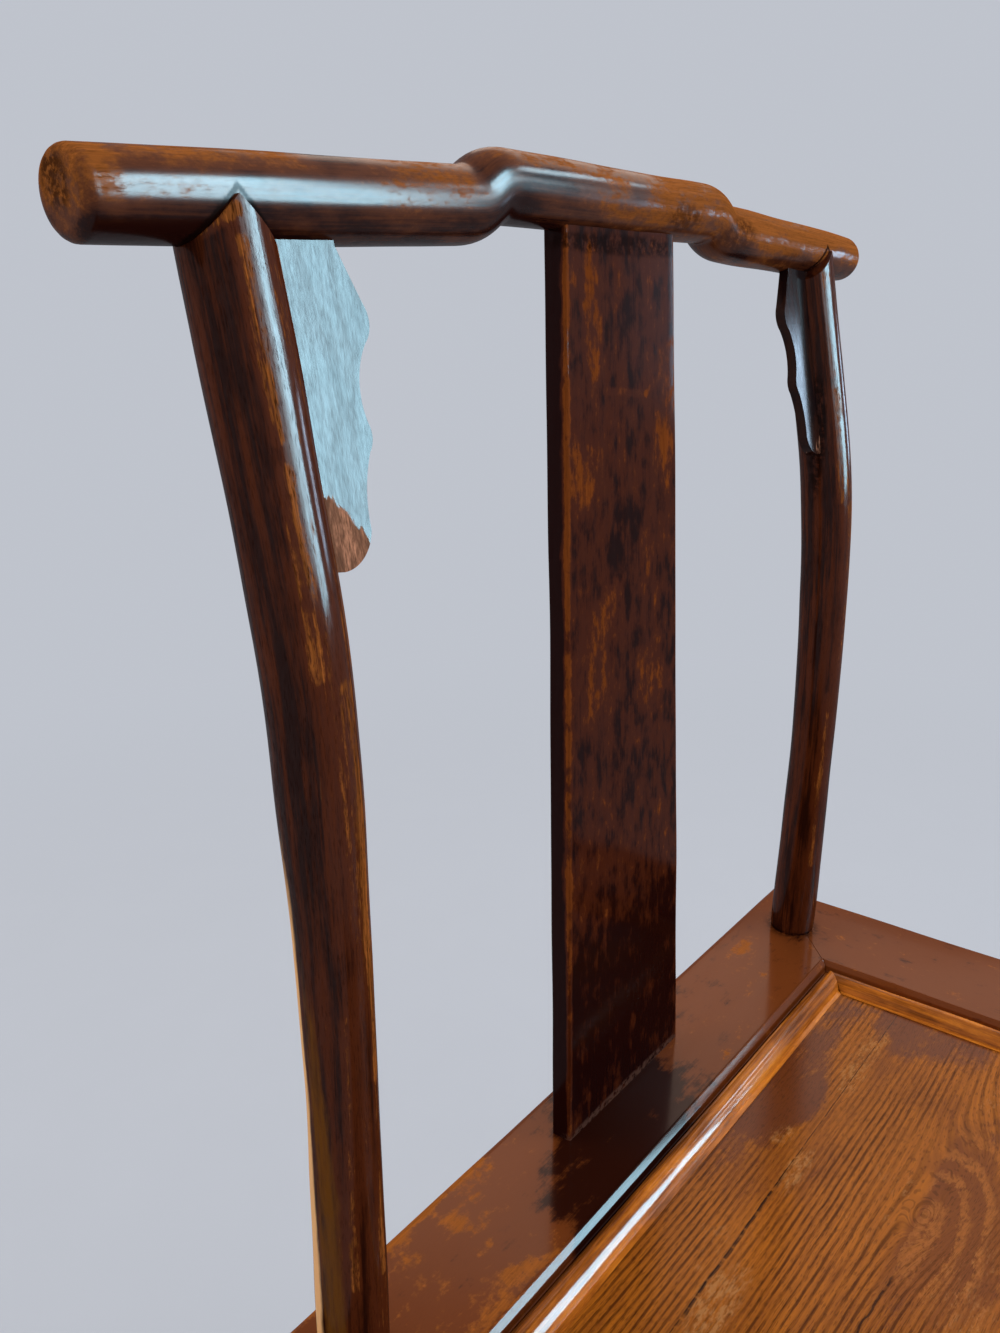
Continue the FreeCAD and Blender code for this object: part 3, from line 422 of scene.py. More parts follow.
def stains(colour: Colour, rows: Sequence[Sequence[float]], x: float = 0.0) -> tuple[Stain, ...]:
    """Read stains of one colour, whose rows are like those of rubbed spots."""
    return tuple(Stain(rub.centre, rub.reach, colour, rub.amount) for rub in wear(rows, x))


@dataclass(frozen=True)
class Lacquer:
    """Old brown lacquer on open-pored wood.

    Attributes:
        deep, body, bare: colours of thick lacquer, of thin lacquer and of the bare wood
        rubbed, thin: how much of it is rubbed through and how much is thin, from 0 to 1
        patch: sizes of the patches across and along the grain, in metres
        streaky: how much the wear follows the grain, from 0 to 1
        gloss, coat: roughness of the clear skin, and its weight where it is whole
        dull: share of the skin that is gone where the wood shows
        pores, figure: how strongly the pores and the bare wood's grain show, from 0 to 1
        belly: how uneven the scraped surface is, in metres
        soften: how gently the lacquer thins out at a worn patch's edge
        brushed: how much the shine is broken by fine streaks, from 0 to 1
        grit, speckle: specks of wear to a metre, across and along the grain, and how strongly
            they break a worn patch's edge
    """

    name: str
    deep: Colour = (0.011, 0.0018, 0.001)
    body: Colour = (0.062, 0.0135, 0.0042)
    bare: Colour = (0.24, 0.078, 0.02)
    rubbed: float = 0.3
    thin: float = 0.5
    patch: Pair = (0.02, 0.07)
    streaky: float = 0.5
    gloss: float = 0.13
    coat: float = 0.22
    dull: float = 0.7
    pores: float = 0.5
    belly: float = 0.0004
    soften: float = 0.07
    figure: float = 1.0
    brushed: float = 0.3
    grit: Pair = (620.0, 190.0)
    speckle: float = 0.16
    pore: Colour = (0.008, 0.002, 0.001)

    def on(self, grain: Grain, shift: float, rubs: Sequence[Wear] = (),
           side: Pair = (0.0, 0.0), dirt: Sequence[Dirt] = ()) -> bpy.types.Material:
        """Make this finish for one timber.

        Args:
            grain: which way the grain runs
            shift: metres by which the pattern is moved
            rubs: where the lacquer is thinner or thicker
            side: for grain that is carried, how much more the lacquer is rubbed for each metre
                from the timber's axis
            dirt: stains that lie on the lacquer, painted shade and painted rim light among them

        Returns:
            the material
        """
        desk = Desk(bpy.data.materials.new(f"{self.name}_{len(bpy.data.materials):02d}"))
        still, lie = desk.lie(grain, shift)
        wide, long = 1.0 / self.patch[0], 1.0 / self.patch[1]
        patches = desk.cloud(lie, (wide, wide, long), 6.0, 0.62)
        streaks = desk.cloud(lie, (210.0, 210.0, 6.0), 5.0, 0.65)
        hairs = desk.cloud(lie, (1100.0, 1100.0, 30.0), 3.0, 0.6)
        specks = desk.cloud(lie, (self.grit[0], *self.grit), 3.0, 0.65)
        pores = desk.cloud(lie, (2100.0, 2100.0, 260.0), 1.0).rise(0.56, 0.68) * self.pores
        level = patches * (1.0 - self.streaky) + streaks * self.streaky
        place = desk.place()
        for rub in rubs:
            level = level + rub.mask(place)
        if any(side):
            across, over, _ = still.parts()
            level = level + (across * side[0] + over * side[1])
        edge, low = 0.74 - 0.34 * self.rubbed, 0.66 - 0.32 * self.thin
        broken = level + (specks - 0.5) * self.speckle
        bare = broken.rise(edge, edge + self.soften)
        thin = (level + (hairs - 0.5) * 0.2).rise(low - 0.09, low + 0.09)
        ground = desk.mix(thin, self.deep, self.body)
        figure = hairs.rise(0.3, 0.7) * streaks.rise(0.3, 0.62)
        wood = desk.tint(self.bare, 1.0 - 0.6 * self.figure + 1.2 * self.figure * figure)
        colour = desk.mix(bare * 0.9, ground, wood)
        colour = desk.mix(pores * (0.35 + 0.4 * bare), colour, self.pore)
        rough = 0.3 + 0.2 * bare + 0.15 * pores
        rubbed = (bare * self.dull + pores * 0.6).rise(0.0, 1.0)
        lines = 0.3 * hairs.rise(0.36, 0.66) + 0.4 * streaks.rise(0.38, 0.58)
        fine = 1.0 - self.brushed * (lines + 0.3 * specks.rise(0.4, 0.6))
        coat = (1.0 - rubbed) * fine * self.coat
        for stain in dirt:
            share = stain.mask(desk, place)
            colour = desk.mix(share, colour, stain.colour)
            coat = coat * (1.0 - 0.6 * share)
        waves = desk.cloud(lie, (34.0, 34.0, 8.0), 1.0)
        height = waves * (self.belly / (0.1 * MM)) + hairs * 0.14 - pores * 0.4 - bare * 0.15
        return desk.surface(colour, rough, coat, height, self.gloss)


@dataclass(frozen=True)
class Knot:
    """A knot in the panel, round which the grain flows."""

    centre: Pair
    reach: Pair
    lift: float

    def bulge(self, x: Value, y: Value) -> Value:
        """Give how far the grain is pushed aside at each point, in metres."""
        away_x = (x - self.centre[0]) / self.reach[0]
        away_y = (y - self.centre[1]) / self.reach[1]
        return (away_x * away_x + away_y * away_y).swell() * self.lift


@dataclass(frozen=True)
class Crack:
    """A seam or drying crack that follows the panel's grain."""

    y: float
    start: float
    end: float
    width: float
    stray: float

    def mask(self, desk: Desk, x: Value, y: Value) -> Value:
        """Give 1 in the crack and 0 beside it."""
        line = desk.join(x, 0.0, self.y)
        wander = desk.cloud(line, (38.0, 1.0, 40.0), 3.0) - 0.5
        off = abs(y - self.y - wander * self.stray)
        inside = x.rise(self.start, self.start + 0.02) * (1.0 - x.rise(self.end - 0.03, self.end))
        uneven = desk.cloud(line, (150.0, 1.0, 60.0), 2.0).rise(0.34, 0.52)
        return (1.0 - off.rise(self.width * 0.35, self.width)) * inside * uneven


@dataclass(frozen=True)
class PanelWood:
    """Worn golden boards with dark summer grain, a knot and drying cracks.

    Attributes:
        gold, brown, dark, pale: colours of spring wood, of browner wood, of the dark grain lines
            and of wood that is rubbed bare
        varnish, pore, gap, raw: colours of thick varnish, of pores, of cracks and of the underside
        top, line: height of the panel's face, and distance between two grain lines, in metres
        plate, arc, arc_centre, arc_step: smooth dark wood right of the knot, and the arcs in it
        knots, cracks: where they are
        worn, dark_spots: where the panel is rubbed, and where the varnish is thick
    """

    gold: Colour = (0.36, 0.108, 0.009)
    brown: Colour = (0.18, 0.05, 0.009)
    dark: Colour = (0.05, 0.0125, 0.003)
    pale: Colour = (0.42, 0.20, 0.072)
    varnish: Colour = (0.095, 0.021, 0.006)
    pore: Colour = (0.02, 0.0055, 0.002)
    gap: Colour = (0.018, 0.006, 0.0025)
    raw: Colour = (0.2, 0.105, 0.055)
    top: float = 0.494
    line: float = 0.0038
    plate: Colour = (0.13, 0.036, 0.011)
    arc: Colour = (0.29, 0.095, 0.02)
    arc_centre: Pair = (0.012, 0.008)
    arc_step: float = 0.0235
    knots: tuple[Knot, ...] = (
        Knot((0.0125, 0.0115), (0.012, 0.0058), 0.0095),
        Knot((0.040, 0.002), (0.062, 0.019), 0.017),
        Knot((0.11, -0.03), (0.08, 0.03), 0.022),
        Knot((-0.115, -0.075), (0.013, 0.006), 0.0095),
        Knot((-0.08, -0.085), (0.08, 0.03), 0.024))
    cracks: tuple[Crack, ...] = (
        Crack(0.0825, -0.195, 0.2, 0.00035, 0.0012),
        Crack(0.082, -0.132, 0.008, 0.001, 0.004),
        Crack(0.0125, -0.15, -0.014, 0.0007, 0.009),
        Crack(-0.083, 0.02, 0.165, 0.0007, 0.008))
    worn: tuple[Wear, ...] = wear((
        (3, 78, 494, 35, 12, 50, 0.22), (25, 98, 494, 16, 12, 50, 0.2),
        (-102, 72, 494, 40, 15, 50, 0.24), (120, 83, 494, 60, 12, 50, 0.16),
        (-30, -20, 494, 60, 30, 50, 0.12)))
    dark_spots: tuple[Wear, ...] = wear((
        (75, 112, 494, 120, 27, 50, 0.3), (170, 60, 494, 50, 70, 50, 0.22),
        (60, 95, 494, 45, 16, 50, 0.15), (120, -20, 494, 60, 50, 50, 0.2),
        (40, -35, 494, 70, 22, 50, 0.18), (-130, 120, 494, 50, 20, 50, 0.1),
        (0, -140, 494, 200, 30, 50, 0.2), (-190, 0, 494, 30, 140, 50, 0.18)))

    def figure(self, desk: Desk, x: Value, y: Value, clouds: Value,
               specks: Value) -> tuple[Value, Field]:
        """Draw the smooth dark wood with broken arcs to the right of the knot.

        Args:
            desk: the material's tree
            x: place along the grain
            y: place across the grain
            clouds: wide noise
            specks: fine noise

        Returns:
            where this wood shows, and its colour
        """
        away_x = x - self.arc_centre[0]
        away_x = away_x * (0.35 + 0.65 * away_x.rise(-0.006, 0.004))
        away_y = (y - self.arc_centre[1]) * 2.0
        square = away_x * away_x + away_y * away_y
        reach = square.work("SQRT", square)
        jagged = (clouds - 0.5) * 0.055 + (specks - 0.5) * 0.02
        arcs = ((reach + jagged) * (WHOLE_TURN / self.arc_step) - 0.5).wave()
        arcs = arcs.rise(0.45, 0.9) * (0.35 + 0.65 * specks.rise(0.36, 0.56))
        near = (1.0 - (reach + jagged).rise(0.055, 0.1)) * x.rise(-0.07, -0.01)
        near = near * (1.0 - (y + jagged * 0.2).rise(0.0135, 0.0195))
        return near, desk.mix(arcs, self.plate, self.arc)

    def on_panel(self) -> bpy.types.Material:
        """Make the material, with its pattern worked out in the panel's own plane."""
        desk = Desk(bpy.data.materials.new("seat_board"))
        place = desk.place()
        x, y, z = place.parts()
        flow = y + (desk.cloud(place, (2.6, 7.0, 1.0), 1.0) - 0.5) * 0.02
        flow = flow + (desk.cloud(place, (28.0, 90.0, 1.0), 3.0) - 0.5) * 0.0016
        for knot in self.knots:
            flow = flow + knot.bulge(x, y)
        along = desk.join(flow, x, 0.0)
        bands = desk.cloud(along, (60.0, 2.0, 1.0), 2.0)
        rings = (flow * (WHOLE_TURN / self.line) + bands * 5.0).wave()
        broken = desk.cloud(along, (420.0, 42.0, 1.0), 3.0, 0.65).rise(0.36, 0.56)
        faint = desk.cloud(along, (28.0, 5.0, 1.0), 3.0, 0.55).rise(0.36, 0.6)
        lines = rings.rise(0.42, 0.95) * (0.36 + 0.64 * broken) * (0.3 + 0.7 * faint)
        hairs = desk.cloud(along, (1200.0, 26.0, 1.0), 3.0, 0.65)
        pores = desk.cloud(along, (1500.0, 190.0, 1.0), 1.0).rise(0.55, 0.66)
        clouds = desk.cloud(place, (14.0, 30.0, 1.0), 5.0, 0.62)
        specks = desk.cloud(place, (180.0, 420.0, 1.0), 4.0, 0.7)
        worn = clouds * 0.55 + specks * 0.3 + 0.05
        for rub in self.worn:
            worn = worn + rub.mask(place)
        rubbed = worn.rise(0.55, 0.72) * specks.rise(0.38, 0.62)
        kept = (1.0 - clouds) * 0.75 + (1.0 - specks) * 0.25 - 0.05
        for spot in self.dark_spots:
            kept = kept + spot.mask(place)
        varnished = kept.rise(0.53, 0.68)
        wood = desk.mix(hairs.rise(0.3, 0.72) * 0.6 + clouds.rise(0.35, 0.6) * 0.4,
                        self.brown, self.gold)
        wood = desk.mix(lines * 0.82, wood, self.dark)
        near, figure = self.figure(desk, x, y, clouds, specks)
        wood = desk.mix(near * (0.75 - 0.3 * lines), wood, figure)
        wood = desk.mix(rubbed * 0.6, wood, self.pale)
        wood = desk.mix(varnished * (0.88 - 0.25 * lines), wood, self.varnish)
        wood = desk.mix(pores * 0.35, wood, self.pore)
        split = self.cracks[0].mask(desk, x, y)
        for crack in self.cracks[1:]:
            split = split + crack.mask(desk, x, y)
        wood = desk.mix(split * 0.8, wood, self.gap)
        below = 1.0 - z.rise(self.top - 0.009, self.top - 0.004)
        colour = desk.mix(below, wood, desk.tint(self.raw, 0.6 + 0.8 * hairs))
        rough = 0.34 + 0.14 * rubbed + 0.12 * pores - 0.06 * varnished + 0.2 * below
        coat = (0.13 + 0.09 * varnished - 0.09 * rubbed - 0.04 * lines) * (1.0 - below)
        height = (hairs * 0.35 - lines * 0.6 - pores * 0.5 - split * 5.0 + clouds * 1.6
                  + rubbed * specks * 0.5)
        return desk.surface(colour, rough, coat, height, 0.17)


class Timber:
    """A length of timber on the bench: a section that bmesh operators carry along its line.

    Attributes:
        room: lowest and highest corner of the model, which no piece passes
    """

    room: Sequence[Sequence[float]]

    def __init__(self, node: str) -> None:
        """Start with an empty bench for a piece that stands for one of the model's."""
        self.node = node
        self.mesh = bmesh.new()
        self.grain = self.mesh.verts.layers.float_vector.new("grain")
        self.rim: list[bmesh.types.BMEdge] = []
        self.frame = Matrix.Identity(4)
        self.travel = 0.0

    def copy(self, data: bpy.types.Mesh) -> None:
        """Start from the model's own piece, with its flat faces free of needless edges."""
        self.mesh.from_mesh(data)
        bmesh.ops.remove_doubles(self.mesh, verts=self.mesh.verts, dist=0.002 * MM)
        bmesh.ops.dissolve_limit(self.mesh, angle_limit=math.radians(0.6),
                                 use_dissolve_boundaries=False, verts=self.mesh.verts,
                                 edges=self.mesh.edges)

    def start_round(self, frame: Matrix, sides: int) -> None:
        """Lay the first ring, a circle whose radius is the frame's scale."""
        made = bmesh.ops.create_circle(self.mesh, cap_ends=False, segments=sides, radius=1.0,
                                       matrix=frame)["verts"]
        self.rim = list(dict.fromkeys(edge for vert in made for edge in vert.link_edges))
        self._mark(frame, made)

    def start_section(self, frame: Matrix, outline: Sequence[Pair], rounds: Mapping[int, float],
                      steps: int) -> None:
        """Lay the first ring from the corners of a section.

        Args:
            frame: the section's place
            outline: its corners in the frame's own plane
            rounds: radius of each corner that is rounded, by its place in the outline
            steps: how many steps round such a corner
        """
        corners = [self.mesh.verts.new((u, v, 0.0)) for u, v in outline]
        self.mesh.faces.new(corners)
        for place, radius in rounds.items():
            self._bevel([corners[place]], radius, steps, "VERTICES", False)
        made = list(self.mesh.verts)
        bmesh.ops.transform(self.mesh, matrix=frame, verts=made)
        self.rim = list(self.mesh.edges)
        self._mark(frame, made)

    def _bevel(self, geometry: Sequence[Any], width: float, steps: int, affect: str = "EDGES",
               clamp: bool = True) -> None:
        """Round some edges or corners."""
        bmesh.ops.bevel(self.mesh, geom=geometry, offset=width, affect=affect,
                        offset_type="OFFSET", segments=steps, profile=0.5, material=-1,
                        clamp_overlap=clamp)

    def _mark(self, frame: Matrix, ring: Sequence[bmesh.types.BMVert]) -> None:
        """Write each point's place in the section, and how far along the timber it is."""
        self.frame = frame
        back, scale = frame.inverted(), frame.to_scale()
        for vert in ring:
            local = back @ vert.co
            vert[self.grain] = (local.x * scale.x, local.y * scale.y, self.travel)

    def run(self, frames: Sequence[Matrix]) -> None:
        """Extrude the open ring through its next places, and fill both ends."""
        for frame in frames:
            made = bmesh.ops.extrude_edge_only(self.mesh, edges=self.rim)["geom"]
            ring = [item for item in made if isinstance(item, bmesh.types.BMVert)]
            self.rim = [item for item in made if isinstance(item, bmesh.types.BMEdge)]
            bmesh.ops.transform(self.mesh, matrix=frame @ self.frame.inverted(), verts=ring)
            self.travel += (frame.translation - self.frame.translation).length
            self._mark(frame, ring)
        bmesh.ops.holes_fill(self.mesh, edges=[e for e in self.mesh.edges if e.is_boundary])

    def saw(self, point: Vector, waste: Vector, ease: float) -> None:
        """Saw the timber off on a plane, fill the cut and break its edge."""
        geometry = [*self.mesh.verts, *self.mesh.edges, *self.mesh.faces]
        made = bmesh.ops.bisect_plane(self.mesh, geom=geometry, plane_co=point, plane_no=waste,
                                      clear_outer=True)["geom_cut"]
        edges = [item for item in made if isinstance(item, bmesh.types.BMEdge)]
        bmesh.ops.edgeloop_fill(self.mesh, edges=edges)
        self._bevel(edges, ease, 2)

    def ease(self, width: float) -> None:
        """Round the long sharp edges."""
        self._bevel([edge for edge in self.mesh.edges
                     if edge.is_manifold and edge.calc_length() > 4.0 * MM
                     and edge.calc_face_angle() > math.radians(32.0)], width, 3)

    def handwork(self, depth: float, size: float, seed: float) -> None:
        """Make the surface as uneven as a scraper leaves it.

        Args:
            depth: how far points move along their normals, at most
            size: length of the waves in metres
            seed: which of many patterns it is
        """
        self.mesh.normal_update()
        for vert in self.mesh.verts:
            at = vert.co / size + Vector((seed, 2.0 * seed, -seed))
            vert.co += vert.normal * (depth * noise.noise(at))

    def deliver(self, slot: Slot, finish: bpy.types.Material, crease: float = 40.0) -> None:
        """Turn the bench's mesh into the finished piece.

        Args:
            slot: the record's slot, which is not used
            finish: its material
            crease: angle in degrees from which an edge stays sharp
        """
        for vert in self.mesh.verts:
            vert.co = [min(max(value, low), high)
                       for value, low, high in zip(vert.co, *self.room)]
        bmesh.ops.remove_doubles(self.mesh, verts=self.mesh.verts, dist=0.001 * MM)
        bmesh.ops.recalc_face_normals(self.mesh, faces=self.mesh.faces)
        for edge in self.mesh.edges:
            edge.smooth = not edge.is_manifold or edge.calc_face_angle() < math.radians(crease)
        name = f"{self.node}_timber"
        data = bpy.data.meshes.new(name)
        self.mesh.to_mesh(data)
        self.mesh.free()
        if "custom_normal" in data.attributes:
            data.attributes.remove(data.attributes["custom_normal"])
        for face in data.polygons:
            face.use_smooth = True
        data.materials.clear()
        data.materials.append(finish)
        piece = bpy.data.objects.new(name, data)
        bpy.context.scene.collection.objects.link(piece)
        piece.modifiers.new("even_normals", "WEIGHTED_NORMAL").keep_sharp = True
        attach(piece, "root")
        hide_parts(self.node)
        LOG.info("%s stands for %s, %d faces", name, self.node, len(data.polygons))


def ring_at(centre: Sequence[float], radius: float, turn: Matrix = Matrix.Identity(4)) -> Matrix:
    """Give the frame of a ring, which is level unless it is turned."""
    return Matrix.Translation(centre) @ turn @ Matrix.Diagonal((radius, radius, radius, 1.0))


def bezier(points: Sequence[Pair], count: int) -> list[Vector]:
    """Draw a plane curve from its four handles."""
    return interpolate_bezier(*(Vector(point) for point in points), count)


def eased_line(knots: Sequence[Vector], steps: int) -> list[Vector]:
    """Draw a smooth line through some points, with some steps between two of them."""
    slopes = [(after - before) / 6.0 for before, after in zip(knots, knots[2:])]
    slopes = [(knots[1] - knots[0]) / 3.0, *slopes, (knots[-1] - knots[-2]) / 3.0]
    line = [knots[0]]
    for start, end, out, into in zip(knots, knots[1:], slopes, slopes[1:]):
        line += interpolate_bezier(start, start + out, end - into, end, steps + 1)[1:]
    return line


@dataclass
class CrestRail:
    """Crest rail: a round rail with a raised middle and rounded free ends.

    Attributes:
        length, flat, step: its length, half the raised middle, and the length of a bend
        lift, droop: rise of a bend, and fall of an outer part
        axis_y, axis_z, post_x: where its axis is over the posts
        girths: radius at some distances from the middle
        bend: handle of a bend's curve
        end_reach, end_run, end_round, end_turn: how far out an end is, the length over which it
            is shaped, its rounding and how it is turned
    """

    length: float = 0.585
    flat: float = 0.086
    step: float = 0.030
    lift: float = 0.009
    droop: float = 0.008
    axis_y: float = 0.210625
    axis_z: float = 0.980
    post_x: float = 0.232
    girths: tuple[Pair, ...] = ((0.0, 0.0151), (0.10, 0.0152), (0.14, 0.0153), (0.205, 0.0149),
                                (0.25, 0.0145), (0.30, 0.0140))
    bend: float = 0.0163
    end_reach: float = 0.2866
    end_run: float = 0.020
    end_round: float = 0.0045
    end_turn: Pair = (0.04, -0.05)
    finish: Lacquer = Lacquer("crest_lacquer", rubbed=0.62, thin=0.6, patch=(0.025, 0.06),
                              streaky=0.18, gloss=0.21, coat=0.33, dull=0.85, pores=0.35,
                              belly=0.0008, soften=0.16, figure=0.4, grit=(420.0, 260.0),
                              speckle=0.26, deep=(0.018, 0.0034, 0.002),
                              body=(0.10, 0.028, 0.009), bare=(0.31, 0.10, 0.022))
    rubs: tuple[Wear, ...] = wear((
        (160, 210.625, 985, 280, 50, 50, 0.09), (-200, 194.625, 966, 160, 12, 14, -0.16),
        (-190, 210.625, 996, 30, 20, 10, -0.12), (-289, 210.625, 985, 8, 30, 20, 0.06),
        (-282.5, 197, 984, 7, 20, 20, 0.1), (120, 196.625, 970, 30, 12, 12, -0.2),
        (-106, 197, 998, 17, 12, 11, -0.1), (-60, 198, 998, 50, 14, 9, -0.1),
        (4, 196, 997, 11, 11, 8, -0.08), (-30, 197, 991, 90, 197, 989, 12, 0.08, 0.2),
        (60, 198, 986, 300, 198, 980, 13, 0.12, 0.2)))
    marks: tuple[Dirt, ...] = (
        *stains((0.035, 0.009, 0.0035), (
            (50, 197, 989, 20, 12, 9, 0.6), (112, 200, 984, 22, 12, 12, 0.65),
            (185, 200, 971, 40, 14, 8, 0.6), (0, 200, 979, 70, 14, 5, 0.5))),
        CopeLine((-0.235, 0.210625, 0.9825), -0.2), CopeLine((0.229, 0.210625, 0.9825), 0.2),
        *stains((0.006, 0.002, 0.0012), ((-200, 206.625, 966, 14, 10, 4, 0.9),)),
        *stains((0.035, 0.011, 0.004), ((-291.5, 212, 981, 6, 9, 11, 0.85),)))

    def slope(self) -> float:
        """Give the fall of the rail's outer part."""
        return self.droop / (self.length / 2 - self.flat - self.step)

    def height(self, x: float) -> float:
        """Give the height of the straight outer part's axis."""
        return self.axis_z - self.slope() * (abs(x) - self.post_x)

    def girth(self, x: float) -> float:
        """Give the rail's radius, which falls away towards its ends."""
        for (near, thick), (far, thin) in zip(self.girths, self.girths[1:]):
            if abs(x) <= far:
                break
        return thick + (thin - thick) * (abs(x) - near) / (far - near)

    def half_line(self) -> list[Vector]:
        """Draw the axis from the middle to where the right end's shaping begins."""
        shoulder = Vector((self.flat + self.step, 0.0, self.height(self.flat + self.step)))
        top = Vector((self.flat, 0.0, shoulder.z + self.lift))
        line = [Vector((top.x * share / 8, 0.0, top.z)) for share in range(8)]
        line += interpolate_bezier(
            top, top + Vector((self.bend, 0.0, 0.0)),
            shoulder - Vector((self.bend, 0.0, -self.bend * self.slope())), shoulder, 17)
        reach = self.end_reach - self.end_run
        for share in range(1, 15):
            x = shoulder.x + (reach - shoulder.x) * share / 14
            line.append(Vector((x, 0.0, self.height(x))))
        return line

    def end_frames(self, side: float) -> list[Matrix]:
        """Give the rings of one end, cut askew and rounded, from the rail outwards."""
        rings = []
        for count in range(1, 7):
            share = count / 6
            x = side * (self.end_reach - self.end_run * (1.0 - share))
            bent = share * share * (3.0 - 2.0 * share)
            ahead = Vector((1.0, side * self.end_turn[0] * bent,
                            side * (self.end_turn[1] * bent - self.slope())))
            rings.append(self.ring(Vector((x, 0.0, self.height(x))), ahead, self.girth(x)))
        tip = Vector((side * self.end_reach, 0.0, self.height(self.end_reach)))
        for share in (0.2, 0.4, 0.6, 0.8, 0.92, 1.0):
            out = self.end_round * math.sin(share * math.pi / 2)
            thin = self.girth(tip.x) - self.end_round * (1.0 - math.cos(share * math.pi / 2))
            rings.append(self.ring(tip + ahead.normalized() * side * out, ahead, thin))
        return rings

    def frames(self) -> list[Matrix]:
        """Give the rings from the left end to the right."""
        half = self.half_line()
        line = [Vector((-p.x, 0.0, p.z)) for p in reversed(half[1:])] + half
        frames = list(reversed(self.end_frames(-1.0)))
        for place, point in enumerate(line):
            ahead = line[min(place + 1, len(line) - 1)] - line[max(place - 1, 0)]
            frames.append(self.ring(point, ahead, self.girth(point.x)))
        return frames + self.end_frames(1.0)

    def ring(self, point: Vector, ahead: Vector, radius: float) -> Matrix:
        """Give the frame of one ring: X to the back, Y up and Z along the rail."""
        along = ahead.normalized()
        over = along.cross(Vector((0.0, 1.0, 0.0))).normalized()
        turn = Matrix((over.cross(along), over, along)).transposed().to_4x4()
        return ring_at((point.x, self.axis_y + point.y, point.z), radius, turn)

    def build(self) -> None:
        """Make and dress the rail."""
        frames = self.frames()
        timber = Timber("crest_rail")
        timber.start_round(frames[0], 64)
        timber.run(frames[1:])
        timber.handwork(0.0005, 0.045, 3.0)
        timber.deliver(Slot.WORN,
                       self.finish.on(Grain.CARRIED, 0.31, self.rubs, (-1.0, 6.5), self.marks))


